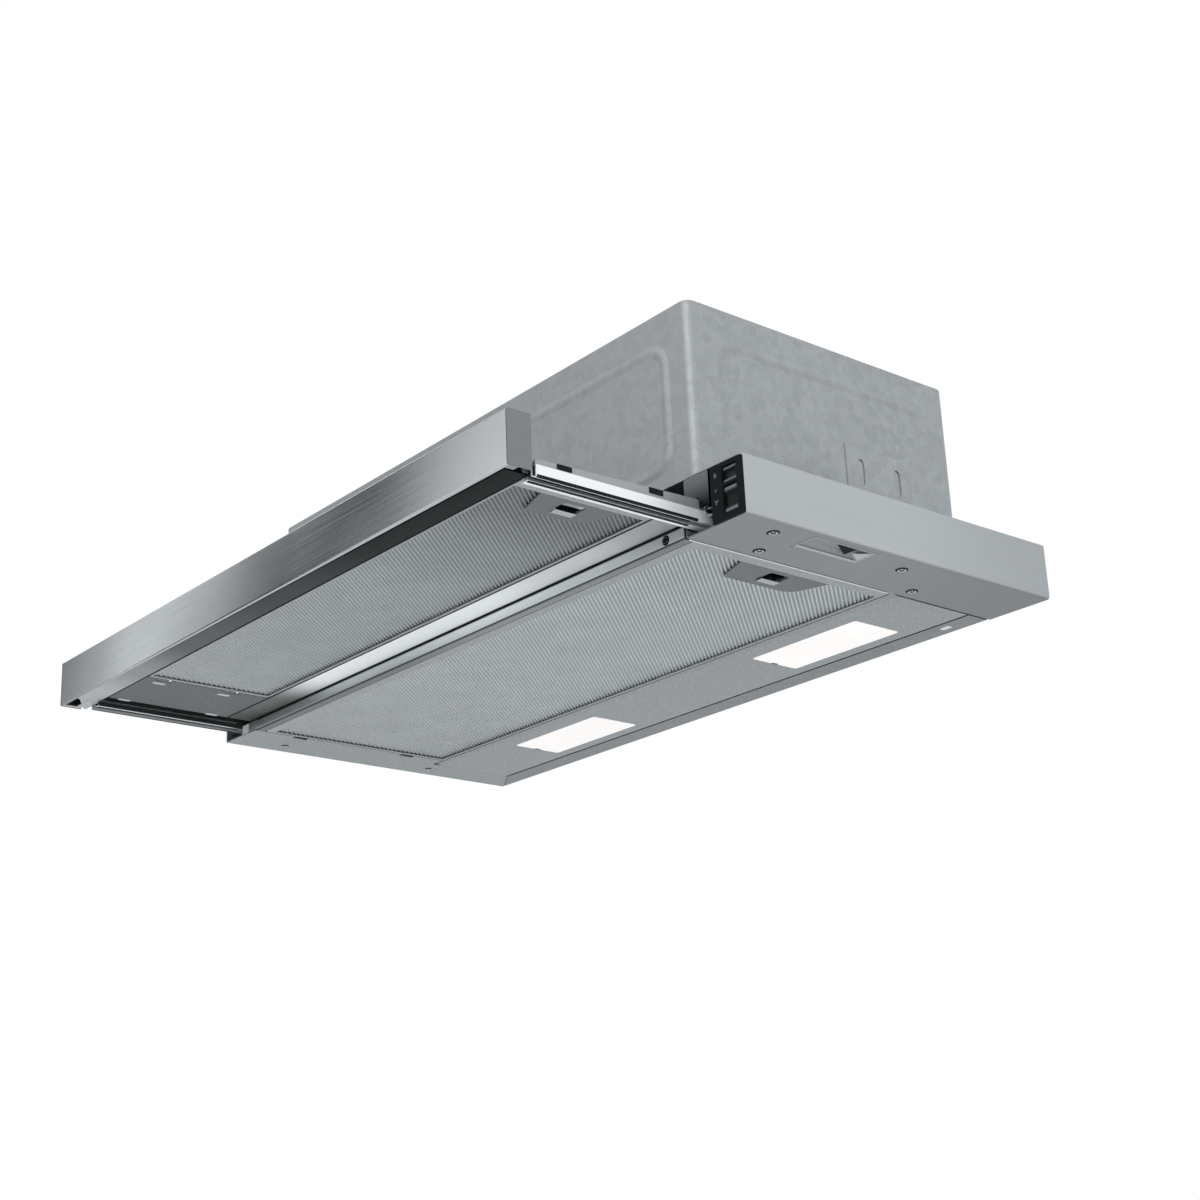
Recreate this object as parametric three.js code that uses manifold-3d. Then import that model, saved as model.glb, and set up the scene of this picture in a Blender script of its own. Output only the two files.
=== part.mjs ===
// Pull-out cooker hood for a 600 mm wall cabinet, drawn with its drawer pulled out.
// Frame, in millimetres: x to the right, y towards the wall, z up.
// Origin: middle of the width, on the wall plane, on the top face of the canopy.
import * as THREE from "three";
import { mergeVertices } from "three/addons/utils/BufferGeometryUtils.js";
import Module from "manifold-3d";

const wasm = await Module();
wasm.setup();

// ---------------------------------------------------------------- driving dimensions
// Canopy: the low body that hangs below the cabinet.
const hoodWidth = 598;
const hoodDepth = 280;
const canopyHeight = 38;
const sheet = 1;
const bendRadius = 0.8;
const seatGap = 0.2; // between pieces that are fastened to each other
const runningGap = 0.6; // beside a piece that moves
const airOpeningInset = 12; // canopy opening, inside the motor housing's walls
const leftStripWidth = 46;
const leftStripRearWidth = 32;
const rearStripDepth = 20;
const canopyFlange = 14; // turned down inside the right cover
const lipDepth = 7.6; // rail across the canopy's front
const lipHeight = 7.4;
const lipSlit = 1; // between the rail's end leaf and its main length

// Right block with the controls.
const coverWidth = 52;
const coverLip = 5.5;
const panelWidth = 26.4;
const panelFace = 1.6;
const wellLeft = 10; // from the panel's left edge to the switch well
const wellWidth = 12;
const wellBottom = 4; // above the canopy's underside
const fanWell = 17.8;
const wellRidge = 1.4;
const lightWell = 10.8;
const wellDepth = 12;
const wellWall = 1.8;
const rockerPivotDepth = 2.2; // behind the rocker's face
const switchDepth = 14; // switch unit behind the well
const rockerInset = 0.4; // rocker face behind the panel face
const rockerSideGap = 0.4;
const stubRadius = 0.9;
const scoopRadius = 14;
const scoopDepth = 0.9;
const windowWidth = 21;
const windowLength = 56;
const windowInset = 15.5; // window's middle from the cover's outer edge
const windowBack = 188; // and from the wall
const windowDepth = 6;
const windowTaper = 0.6;

// Drawer and its slides.
const travel = 127;
const barLength = 562;
const barDepth = 17;
const barHeight = 34.5;
const barSheet = 0.8;
const barRise = 5; // bar's top edge above the canopy's top
const barStop = 0.7; // between the closed bar and the canopy's front
const barBackLeaf = 11;
const barHem = 1.8;
const capThickness = 1.2;
const capTongue = 8;
const drawerRise = 9; // drawer's underside above the canopy's underside
const profileSetback = 2.7; // front profile behind the bar's face
const profileDepth = 18;
const profileHeight = 20;
const profileLeft = 23; // hollow end of the bar beside the profile
const drawerPlateDepth = 102; // from the front profile to the crossbar
const channelWidth = 13.5; // raised channel of the drawer plate beside the left rail
const channelDepth = 8;
const drawerLedge = 12; // rim of the drawer plate over the filter
const crossbarDepth = 31.5;
const crossbarHeight = 7;
const railWidth = 13;
const railDrop = 2.5; // rail's lower edge below the drawer's underside
const railHeight = 14.5;
const railRearReach = 130; // rail behind the canopy's front when open
const railBand = 7.5; // plain band of the rail's outer wall
const railJoggle = 0.8; // the flange above the band is set back by this
const railFrontFall = 3.5; // the flange is this much lower at the bar
const railNotch = [11, 3];
const railNotchPlaces = [102.5, 33]; // ahead of the canopy's front
const railLip = 5;
const railRib = 4.5; // thin rib inboard of the rail's outer face
const slideHeight = 17;
const slideWidth = 9.2;
const slideWall = 1.2;
const slideCentre = 17.5; // slide's middle above the canopy's underside
const slideFrontInset = 4;
const slideRearInset = 20;
const innerHeadHeight = 7;
const innerHeadStart = 3.2;
const innerHeadEnd = 7;
const innerWeb = 10;
const ballRadius = 1.6;
const ballSeat = 5; // ball centre from the drawer's side
const ballCount = 5;
const cageSheet = 0.6;
const cageLength = 56;
const cageStart = 66; // cage's front end behind the slide's front end

// Grease filters.
const filterSheet = 0.8;
const filterCorner = 2;
const mainFilterHeight = 6.8;
const drawerFilterHeight = 7;
const filterLip = 9; // visible rim on the catch side
const mainRim = { left: 2.4, front: 8.2, rear: 1.6 };
const drawerRim = { left: 2.4, front: 1.6, rear: 1.6 };
const filterTopLip = 6;
const filterSideGap = 0.8; // on the hinge side
const mainHingeShares = [0.2, 0.8]; // tabs along the filter's hinge side
const drawerHingeShares = [0.14, 0.7];
const hingeInset = 4; // hinge axis beyond the filter's edge
const hingeRise = 2; // hinge axis above the filter's underside
const tabWidth = 12;
const tabReach = 7;
const tabThickness = 1;
const tabGap = 0.5;
const notchReach = 1.5; // notch beyond the hinge axis
const meshPitch = 5;
const meshWave = 1.3;
const meshLean = 40; // degrees, normal of the folds from the x axis
const drawerFilterLeft = 102; // from the hood's left side

// Filter catches.
const mainLatch = { share: 0.5076, half: [38.6, 29.7] }; // middle along the filter's side, half lengths
const drawerLatch = { share: 0.5, half: [29.6, 21.7] };
const latchDepth = 26.5;
const latchSheet = 1.2;
const latchCorner = 14;
const catchTravel = 4;
const catchThickness = 2;
const pullWidth = 17; // opening for the finger, along the filter's side
const pullOpening = 9;
const catchArm = 3; // arms of the catch on both sides of the opening
const tongueWidth = 14;
const fingerSheet = 1.2;
const fingerProud = 1; // finger tab below the filter's face
const earWidth = 8;

// Lamps.
const lampPlateDepth = 79.4;
const lampPlateFlange = 12;
const lampSlope = [8, 2.4]; // sloped band at the lamp plate's front: depth and rise
const lensSize = [100, 44];
const lensShares = [0.2645, 0.8037]; // lens middles along the lamp plate
const lensFrontEdge = 22.4; // from the lamp plate's front
const lensThickness = 2;
const lensFlange = 1.6;
const lampBoxHeight = 9;
const lampBoxWall = 1.2;
const driverSize = [64, 30, 14];

// Upper housing with the blower.
const housingDepth = 245;
const housingHeight = 132;
const housingShift = -1.5; // middle of the housing from the hood's middle
const housingRear = 15;
const housingFlange = 9;
const housingCorner = 6;
const collarRadius = 60;
const collarHeight = 25;
const collarWall = 1.5;
const collarBase = 14;
const collarLedge = 2.5;
const pinRadius = 1.5;
const pinHeight = 9;
const sleeveWall = 1.1;
const flapSheet = 1;
const blowerWidth = 120;
const blowerFront = 150; // blower axis from the wall
const blowerRise = 60;
const scrollWall = 1.5;
const tongueRadius = 52;
const outletRadius = 60;
const tongueAngle = 75;
const tongueNose = 0.4;
const inletRadius = 38;
const impellerRadius = 46;
const impellerWidth = 102;
const bladeDepth = 7.6;
const bladeSheet = 0.9;
const bladeCount = 28;
const bladeSweep = 11; // degrees from root to tip
const hubRadius = 9;
const hubLength = 30;
const shaftRadius = 4;
const motorRadius = 32;
const motorLength = 46;
const bracketSheet = 1.2;
const capacitorRadius = 14;
const capacitorLength = 52;
const capacitorGap = 30; // from the motor's end
const boxSize = [90, 70, 22];
const boxWall = 2;
const boxInset = 44; // from the housing's left end
const sideBracket = [26, 40, 60]; // leaf along x, height, length along y
const bracketGap = 2; // between a side bracket's leaf and the housing's flange
const sideBracketSheet = 1.5;
const cabinetBoard = 18; // side panel of the wall cabinet, which is as wide as the hood

// ---------------------------------------------------------------- places worked out from them
const left = -hoodWidth / 2;
const right = hoodWidth / 2;
const front = -hoodDepth;
const underside = -canopyHeight;
const coverInner = right - coverWidth;
const windowX = right - windowInset;
const panelLeft = right - seatGap - panelWidth;
const drawerUnderside = underside + drawerRise;
const barLeft = left;
const barRight = left + barLength;
const barBack = front - travel - barStop;
const barFront = barBack - barDepth;
const barBottom = barRise - barHeight;
const profileFront = barFront + profileSetback;
const profileBack = profileFront + profileDepth;
const slideMiddle = underside + slideCentre;
const slideRight = panelLeft - runningGap - sheet; // inner face of the right slide's bracket
const drawerRight = slideRight - seatGap - slideWidth;
const drawerLeft = left + sheet + seatGap + slideWidth;
const railFloor = drawerUnderside - railDrop;
const crossbarFront = profileBack + drawerPlateDepth;
const plateLeft = drawerLeft + railWidth + seatGap;
const channelEdge = plateLeft + channelWidth;
const channelRoof = drawerUnderside + channelDepth;
const stripEdge = left + leftStripWidth;
const lampFront = -rearStripDepth - lampPlateDepth;
const cabinetInner = hoodWidth - 2 * cabinetBoard;
const housingWidth =
  cabinetInner - 2 * (sideBracket[0] + bracketGap + housingFlange - housingShift);
const housingLeft = housingShift - housingWidth / 2;
const housingRight = housingShift + housingWidth / 2;
const housingBack = -housingRear;
const housingFront = housingBack - housingDepth;
const housingTop = seatGap + housingHeight;
const blowerY = -blowerFront;
const tongueY =
  blowerY + tongueRadius * Math.cos(THREE.MathUtils.degToRad(tongueAngle)) + tongueNose;
const outletY = blowerY + outletRadius;
const collarY = (tongueY + outletY) / 2;
const collarSeat = housingTop + seatGap;

// ---------------------------------------------------------------- finishes
const finish = (color, roughness, metalness) => ({ color, roughness, metalness });
const brushed = finish(0xb9bcbe, 0.36, 0.9);
const brightSteel = finish(0xd9dbdc, 0.2, 1);
const darkSteel = finish(0x8b8f92, 0.4, 0.85);
const galvanised = finish(0xa2a6a8, 0.5, 0.7);
const aluminium = finish(0xc4c7c9, 0.42, 0.8);
const filterMesh = finish(0xa7abad, 0.45, 0.75);
const blackPlastic = finish(0x1f2123, 0.45, 0);
const greyPlastic = finish(0x5f6366, 0.55, 0);
const palePlastic = finish(0xc9cbcc, 0.5, 0);
const lampWhite = finish(0xfdfdf8, 0.3, 0);
const copper = finish(0x9a6a4a, 0.4, 0.6);

// ---------------------------------------------------------------- shape helpers
/** Points of a closed outline; a corner [x, y, radius] is rounded by that radius. */
function rounded(corners, steps = 2) {
  const points = [];
  corners.forEach(([x, y, radius = 0], i) => {
    const corner = new THREE.Vector2(x, y);
    if (radius <= 0) {
      points.push(corner);
      return;
    }
    const [bx, by] = corners.at(i - 1);
    const [ax, ay] = corners[(i + 1) % corners.length];
    const before = new THREE.Vector2(bx, by).sub(corner).normalize();
    const after = new THREE.Vector2(ax, ay).sub(corner).normalize();
    const half = Math.acos(THREE.MathUtils.clamp(before.dot(after), -1, 1)) / 2;
    const middle = before.clone().add(after).normalize();
    const centre = middle.multiplyScalar(radius / Math.sin(half)).add(corner);
    const start = before.clone().multiplyScalar(radius / Math.tan(half)).add(corner);
    const sweep = (2 * half - Math.PI) * Math.sign(before.cross(after));
    for (let k = 0; k <= steps; k++) {
      points.push(start.clone().rotateAround(centre, (sweep * k) / steps));
    }
  });
  const apart = (a, b) => a.distanceTo(b) > 0.01;
  return points.filter((point, i) => apart(point, points.at(i - 1)));
}

const shapeOf = (corners, steps) => new THREE.Shape(rounded(corners, steps));

/** Corners of a rectangle, rounded alike. */
const rectangle = ([x0, x1], [y0, y1], radius = 0) => [
  [x0, y0, radius],
  [x1, y0, radius],
  [x1, y1, radius],
  [x0, y1, radius],
];

/** A flat shape with an outline and holes, each given by its corners. */
function plateShape(corners, holes = [], steps = 2) {
  const shape = shapeOf(corners, steps);
  shape.holes = holes.map((hole) => new THREE.Path(rounded(hole, steps)));
  return shape;
}

/** Section of a folded sheet: path is one face, and the metal lies to the left of its direction. */
function foldedShape(path, thickness = sheet, inner = bendRadius) {
  const directions = path
    .slice(1)
    .map(([x, y], i) => new THREE.Vector2(x - path[i][0], y - path[i][1]).normalize());
  const face = [];
  const back = [];
  path.forEach(([x, y], i) => {
    const into = directions[Math.max(i - 1, 0)];
    const out = directions[Math.min(i, directions.length - 1)];
    const reach = thickness / (1 + into.dot(out));
    const isEnd = i === 0 || i === path.length - 1;
    const outer = inner + thickness;
    const turnsLeft = into.cross(out) > 0;
    face.push([x, y, isEnd ? 0 : turnsLeft ? outer : inner]);
    back.unshift([
      x - (into.y + out.y) * reach,
      y + (into.x + out.x) * reach,
      isEnd ? 0 : turnsLeft ? inner : outer,
    ]);
  });
  return shapeOf([...face, ...back]);
}

/** A closed geometry as a solid, with its faces turned outwards. */
function solid(geometry) {
  const bare = geometry.index ? geometry.toNonIndexed() : geometry.clone();
  bare.deleteAttribute("normal");
  bare.deleteAttribute("uv");
  const merged = mergeVertices(bare, 1e-4);
  const triVerts = new Uint32Array(merged.index.array);
  const build = () =>
    new wasm.Manifold(
      new wasm.Mesh({
        numProp: 3,
        vertProperties: merged.attributes.position.array,
        triVerts,
      }),
    );
  const made = build();
  if (made.volume() > 0) return made;
  for (let i = 0; i < triVerts.length; i += 3) {
    [triVerts[i + 1], triVerts[i + 2]] = [triVerts[i + 2], triVerts[i + 1]];
  }
  return build();
}

const vector = (x, y, z) => new THREE.Vector3(x, y, z);
const along = {
  x: new THREE.Matrix4().makeBasis(vector(0, 1, 0), vector(0, 0, 1), vector(1, 0, 0)),
  y: new THREE.Matrix4().makeBasis(vector(1, 0, 0), vector(0, 0, 1), vector(0, -1, 0)),
  z: new THREE.Matrix4(),
};

/** A shape pushed along an axis. It is drawn in (y, z) for x, in (x, z) for y, in (x, y) for z. */
function extrude(shape, axis, from, to) {
  const geometry = new THREE.ExtrudeGeometry(shape, {
    depth: to - from,
    bevelEnabled: false,
    curveSegments: 1,
  });
  geometry.applyMatrix4(along[axis]);
  if (axis === "x") geometry.translate(from, 0, 0);
  if (axis === "y") geometry.translate(0, to, 0);
  if (axis === "z") geometry.translate(0, 0, from);
  return solid(geometry);
}

/** A block between two limits on each axis. */
function block([x0, x1], [y0, y1], [z0, z1]) {
  const geometry = new THREE.BoxGeometry(x1 - x0, y1 - y0, z1 - z0);
  return solid(geometry.translate((x0 + x1) / 2, (y0 + y1) / 2, (z0 + z1) / 2));
}

/** Turns a geometry made round the y axis so that it stands round another axis. */
function turnTo(geometry, axis) {
  if (axis === "x") geometry.rotateZ(-Math.PI / 2);
  if (axis === "z") geometry.rotateX(Math.PI / 2);
  return geometry;
}

/** A round bar from one point of its axis to another; centre gives its middle off the axis. */
function rod(axis, radius, [from, to], centre, sides = 24) {
  const geometry = new THREE.CylinderGeometry(radius, radius, to - from, sides);
  const middle = (from + to) / 2;
  const [a, b] = centre;
  turnTo(geometry, axis);
  if (axis === "x") geometry.translate(middle, a, b);
  if (axis === "y") geometry.translate(a, middle, b);
  if (axis === "z") geometry.translate(a, b, middle);
  return solid(geometry);
}

/** A closed profile of [radius, height] turned round an axis. */
function revolve(profile, axis, centre, sides = 32) {
  const points = profile.map(([radius, height]) => new THREE.Vector2(radius, height));
  const isRing = profile.every(([radius]) => radius > 0);
  if (isRing) points.push(points[0].clone());
  const geometry = turnTo(new THREE.LatheGeometry(points, sides), axis);
  const [a, b] = centre;
  if (axis === "x") geometry.translate(0, a, b);
  if (axis === "z") geometry.translate(a, b, 0);
  return solid(geometry);
}

const join = (first, ...rest) => rest.reduce((whole, piece) => whole.add(piece), first);
const cut = (first, ...rest) => rest.reduce((whole, tool) => whole.subtract(tool), first);

const hood = new THREE.Group();

/** Adds a solid to a group as a named mesh. */
function piece(name, body, look, parent = hood) {
  const { vertProperties, triVerts } = body.getMesh();
  const geometry = new THREE.BufferGeometry();
  geometry.setAttribute("position", new THREE.BufferAttribute(vertProperties, 3));
  geometry.setIndex(new THREE.BufferAttribute(triVerts, 1));
  geometry.computeVertexNormals();
  const mesh = new THREE.Mesh(geometry, new THREE.MeshStandardMaterial(look));
  mesh.name = name;
  parent.add(mesh);
}

// ---------------------------------------------------------------- canopy
const catchWidth = pullWidth + 2 * (runningGap + catchArm);
const shareOf = ([near, far], share) => near + (far - near) * share;
const filterPlace = (name, x, y, floor, height, rim, latch, hingeShares) => ({
  name,
  x,
  y,
  floor,
  height,
  rim: { ...rim, right: filterLip },
  latchMiddle: shareOf(y, latch.share),
  latchHalf: latch.half,
  hinges: hingeShares.map((share) => shareOf(y, share)),
});
const mainFilter = filterPlace(
  "main_filter",
  [stripEdge + filterSideGap, coverInner - runningGap],
  [front + lipDepth + runningGap, lampFront - runningGap],
  underside,
  mainFilterHeight,
  mainRim,
  mainLatch,
  mainHingeShares,
);
const drawerFilter = filterPlace(
  "drawer_filter",
  [left + drawerFilterLeft, drawerRight - railWidth - runningGap],
  [profileBack + runningGap, crossbarFront - runningGap],
  drawerUnderside,
  drawerFilterHeight,
  drawerRim,
  drawerLatch,
  drawerHingeShares,
);

/** Openings that a filter's hinge tabs need in the sheet beside it. */
function hingeNotches(filter) {
  const axis = filter.x[0] - hingeInset;
  const halfWidth = tabWidth / 2 + tabGap;
  return filter.hinges.map((y) =>
    block(
      [axis - notchReach, filter.x[0]],
      [y - halfWidth, y + halfWidth],
      [filter.floor - sheet, filter.floor + hingeRise + tabThickness / 2 + tabGap],
    ),
  );
}

/** The canopy: one sheet folded round the left side, the top and a flange, with its rear wall. */
function buildCanopy() {
  const flangeX = right - sheet - seatGap;
  const skin = foldedShape([
    [flangeX, -canopyFlange],
    [flangeX, 0],
    [left, 0],
    [left, underside],
    [stripEdge, underside],
  ]);
  const rearWall = rectangle(
    [left + sheet / 2, flangeX - sheet / 2],
    [underside + sheet + 2 * seatGap, -sheet / 2],
    bendRadius + sheet / 2,
  );
  const wallFace = -sheet - seatGap;
  const airOpening = rectangle(
    [housingLeft + airOpeningInset, housingRight - airOpeningInset],
    [housingFront + airOpeningInset, housingBack - airOpeningInset],
    8,
  );
  const lampCorner = block(
    [left + leftStripRearWidth, stripEdge + sheet],
    [lampFront, 0],
    [underside - sheet, underside + sheet * 2],
  );
  const mitre = shapeOf([
    [left, 0],
    [left + leftStripRearWidth + sheet, -rearStripDepth - sheet / 2],
    [left + leftStripRearWidth + sheet, 0],
  ]);
  const coverLipGap = block(
    [coverInner - seatGap, coverInner + sheet + seatGap],
    [wallFace - 2 * sheet, 0],
    [underside, underside + coverLip + seatGap],
  );
  const panelCorner = block(
    [flangeX - 2 * sheet, right],
    [front - sheet, front + panelFace + seatGap],
    [-canopyFlange - sheet, -sheet - seatGap / 2],
  );
  const body = cut(
    join(
      extrude(skin, "y", front, wallFace),
      extrude(shapeOf(rearWall), "y", wallFace - sheet, wallFace),
    ),
    extrude(shapeOf(airOpening, 3), "z", -2 * sheet, sheet),
    lampCorner,
    coverLipGap,
    panelCorner,
    extrude(mitre, "z", underside - sheet, underside + sheet + seatGap),
    ...hingeNotches(mainFilter),
  );
  piece("canopy_shell", body, galvanised);
}

/** Strip that closes the gap to the wall; its left end is mitred against the left strip. */
function buildRearStrip() {
  const edge = -rearStripDepth;
  const section = foldedShape([
    [edge, underside],
    [0, underside],
    [0, -canopyFlange],
  ]);
  const miter = seatGap * 2;
  const trim = shapeOf([
    [left - sheet, edge - sheet],
    [left + leftStripRearWidth + miter, edge - sheet],
    [left + leftStripRearWidth + miter, edge],
    [left + miter + sheet, 0],
    [left + miter + sheet, sheet],
    [left - sheet, sheet],
  ]);
  const body = cut(
    extrude(section, "x", left + sheet, coverInner - seatGap),
    extrude(trim, "z", underside - sheet, 0),
  );
  piece("rear_filler_strip", body, darkSteel);
}

/** Folded rail across the canopy's front, which the main filter's front edge lies behind. */
function buildFrontLip() {
  const section = foldedShape([
    [front + lipDepth, underside],
    [front, underside],
    [front, underside + lipHeight],
  ].reverse());
  const endLeaf = block(
    [drawerLeft + railWidth + runningGap, stripEdge + sheet + seatGap],
    [front, front + sheet],
    [underside + sheet + seatGap, drawerUnderside - runningGap],
  );
  const slit = block(
    [channelEdge, channelEdge + lipSlit],
    [front - 1, front + sheet + 1],
    [underside + 2 * sheet + seatGap, drawerUnderside],
  );
  const lip = extrude(section, "x", stripEdge + seatGap, coverInner - seatGap);
  piece("filter_front_lip", cut(join(lip, endLeaf), slit), brushed);
}

/** Right cover: side, underside and inner lip, folded from one brushed sheet. */
function buildRightCover() {
  const section = foldedShape([
    [coverInner, underside + coverLip],
    [coverInner, underside],
    [right, underside],
    [right, 0],
  ]);
  const opening = block(
    [windowX - windowWidth / 2, windowX + windowWidth / 2],
    [-windowBack - windowLength / 2, -windowBack + windowLength / 2],
    [underside - sheet, underside + sheet * 2],
  );
  const coverFront = front + panelFace + seatGap;
  piece("right_cover", cut(extrude(section, "y", coverFront, 0), opening), brushed);
}

/** Shallow tapered tray behind the window in the right cover's underside. */
function buildWindowTray() {
  const frustum = (grow, base, top) => {
    const width = windowWidth - 2 * seatGap + grow;
    const length = windowLength - 2 * seatGap + grow;
    const geometry = new THREE.CylinderGeometry(windowTaper, 1, 1, 4, 1);
    geometry.rotateY(Math.PI / 4);
    geometry.rotateX(Math.PI / 2);
    geometry.scale(width / Math.SQRT2, length / Math.SQRT2, top - base);
    geometry.translate(windowX, -windowBack, (top + base) / 2);
    return solid(geometry);
  };
  const wall = 1.2;
  const roof = underside + windowDepth;
  const body = cut(frustum(0, underside, roof), frustum(-2 * wall, underside - 0.1, roof - wall));
  piece("window_tray", body, palePlastic);
}

/** Hanger of the right slide, folded over under the canopy's top. */
function buildSlideBracket() {
  const section = foldedShape([
    [slideRight, underside + sheet + seatGap],
    [slideRight, -sheet - seatGap],
    [panelLeft + panelWidth / 2, -sheet - seatGap],
  ].reverse());
  const body = extrude(section, "y", front + panelFace + wellDepth + 4, -slideRearInset / 2);
  const foot = block(
    [slideRight, slideRight + sheet],
    [front + panelFace + seatGap, front + panelFace + wellDepth + 5],
    [underside + sheet + seatGap, -slideRearInset],
  );
  piece("slide_bracket", join(body, foot), galvanised);
}

// ---------------------------------------------------------------- controls
const wellX = [panelLeft + wellLeft, panelLeft + wellLeft + wellWidth];
const fanZ = [underside + wellBottom, underside + wellBottom + fanWell];
const lightZ = [fanZ[1] + wellRidge, fanZ[1] + wellRidge + lightWell];
const rockerPivotY = front + rockerInset + rockerPivotDepth;

/** Black control panel with a well for the two rockers. */
function buildControlPanel() {
  const face = rectangle([panelLeft, right], [underside + seatGap, -sheet - seatGap], 0.6);
  const body = join(
    extrude(shapeOf(face), "y", front, front + panelFace),
    block(
      [wellX[0] - wellWall, wellX[1] + wellWall],
      [front + panelFace / 2, front + wellDepth],
      [fanZ[0] - wellWall + seatGap, lightZ[1] + wellWall],
    ),
  );
  const wells = [fanZ, lightZ].map((z) => block(wellX, [front - 1, front + wellDepth + 1], z));
  const pivots = [fanZ, lightZ].map((z) =>
    rod(
      "x",
      stubRadius + 0.3,
      [wellX[0] - wellWall - 1, wellX[1] + wellWall + 1],
      [rockerPivotY, (z[0] + z[1]) / 2],
      12,
    ),
  );
  piece("control_panel", cut(body, ...wells, ...pivots), blackPlastic);
}

/** A rocker: ends round about its pivot, a scooped face and a stub on each side. */
function buildRocker(name, [z0, z1]) {
  const middle = (z0 + z1) / 2;
  const reach = (z1 - z0) / 2 - runningGap + 0.1;
  const face = front + rockerInset;
  const back = rockerPivotY + rockerPivotDepth * 1.6;
  const x = [wellX[0] + rockerSideGap, wellX[1] - rockerSideGap];
  const drum = rod("x", reach, x, [rockerPivotY, middle], 40);
  const slice = block([x[0] - 1, x[1] + 1], [face, back], [z0, z1]);
  const scoop = rod(
    "x",
    scoopRadius,
    [x[0] + 0.9, x[1] - 0.9],
    [face - scoopRadius + scoopDepth, middle],
    96,
  );
  const stubs = rod(
    "x",
    stubRadius,
    [wellX[0] - wellWall * 0.8, wellX[1] + wellWall * 0.8],
    [rockerPivotY, middle],
    12,
  );
  piece(name, join(cut(drum.intersect(slice), scoop), stubs), blackPlastic);
}

/** Switch block held between the well's walls, behind the rockers. */
function buildSwitchUnit() {
  const y = [rockerPivotY + rockerPivotDepth * 1.6 + 1.4, front + wellDepth + switchDepth];
  const body = block(
    [wellX[0] + seatGap, wellX[1] - seatGap],
    [front + wellDepth + seatGap, y[1]],
    [fanZ[0], lightZ[1]],
  );
  const plugs = [fanZ, lightZ].map((z) =>
    block(
      [wellX[0] + 2 * seatGap, wellX[1] - 2 * seatGap],
      [y[0], front + wellDepth + 1],
      [z[0] + seatGap, z[1] - seatGap],
    ),
  );
  piece("switch_unit", join(body, ...plugs), greyPlastic);
}

/** Microswitch at the rear of the right slot; the closed drawer presses its plunger. */
function buildDrawerSwitch() {
  const middle = drawerRight - railWidth / 2;
  const closedRailEnd = front + railRearReach + travel;
  const body = block(
    [middle - 5, middle + 5],
    [closedRailEnd + 4, -2 * sheet - 2 * seatGap],
    [railFloor + 2, railFloor + 14],
  );
  const plunger = rod("y", 1.2, [closedRailEnd + 0.8, closedRailEnd + 5], [middle, railFloor + 8], 10);
  piece("drawer_switch", join(body, plunger), blackPlastic);
}

// ---------------------------------------------------------------- lamps
/** Lamp plate with two lens openings, flanged up at the front and at the rear. */
function buildLamps() {
  const plateX = [left + leftStripRearWidth + seatGap, coverInner - seatGap];
  const section = foldedShape([
    [lampFront, underside + lampPlateFlange],
    [lampFront, underside + lampSlope[1]],
    [lampFront + lampSlope[0], underside],
    [-rearStripDepth - seatGap, underside],
    [-rearStripDepth - seatGap, underside + lampPlateFlange],
  ]);
  const [lensX, lensY] = lensSize;
  const lensMiddleY = lampFront + lensFrontEdge + lensY / 2;
  const spots = lensShares.map((share) => plateX[0] + (plateX[1] - plateX[0]) * share);
  const lensCorners = (x, grow, radius) =>
    rectangle(
      [x - lensX / 2 - grow, x + lensX / 2 + grow],
      [lensMiddleY - lensY / 2 - grow, lensMiddleY + lensY / 2 + grow],
      radius,
    );
  const openings = spots.map((x) =>
    extrude(shapeOf(lensCorners(x, seatGap, 2)), "z", underside - 1, underside + sheet + 1),
  );
  piece("lamp_plate", cut(extrude(section, "x", ...plateX), ...openings), brushed);

  const plateTop = underside + sheet + seatGap;
  spots.forEach((x, i) => {
    const side = ["left", "right"][i];
    const lens = join(
      extrude(shapeOf(lensCorners(x, 0, 2)), "z", underside - 0.2, plateTop + 0.4),
      extrude(shapeOf(lensCorners(x, lensFlange, 2)), "z", plateTop, plateTop + lensThickness / 2),
    );
    piece("lamp_lens_" + side, lens, lampWhite);
    const boxFloor = plateTop + lensThickness / 2 + seatGap;
    const roof = boxFloor + lampBoxHeight;
    const lampBox = cut(
      extrude(shapeOf(lensCorners(x, lensFlange, 3)), "z", boxFloor, roof),
      extrude(
        shapeOf(lensCorners(x, lensFlange - lampBoxWall, 2)),
        "z",
        boxFloor - 1,
        roof - lampBoxWall,
      ),
    );
    piece("lamp_housing_" + side, lampBox, palePlastic);
  });

  const [driverX, driverY, driverZ] = driverSize;
  const middleX = (spots[0] + spots[1]) / 2;
  const driver = rectangle(
    [middleX - driverX / 2, middleX + driverX / 2],
    [lensMiddleY - driverY / 2, lensMiddleY + driverY / 2],
    2,
  );
  piece("led_driver", extrude(shapeOf(driver), "z", plateTop, plateTop + driverZ), palePlastic);
}

// ---------------------------------------------------------------- grease filters
/** Outline of the finger-pull plate: a bow that is widest at the filter's edge. */
function latchCorners({ x, latchMiddle, latchHalf }, grow) {
  const edge = x[1] - filterLip;
  const inner = edge - latchDepth - grow;
  return [
    [edge + grow, latchMiddle - latchHalf[0] - grow],
    [edge + grow, latchMiddle + latchHalf[0] + grow],
    [inner, latchMiddle + latchHalf[1] + grow, latchCorner],
    [inner, latchMiddle - latchHalf[1] - grow, 1.5],
  ];
}

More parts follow.
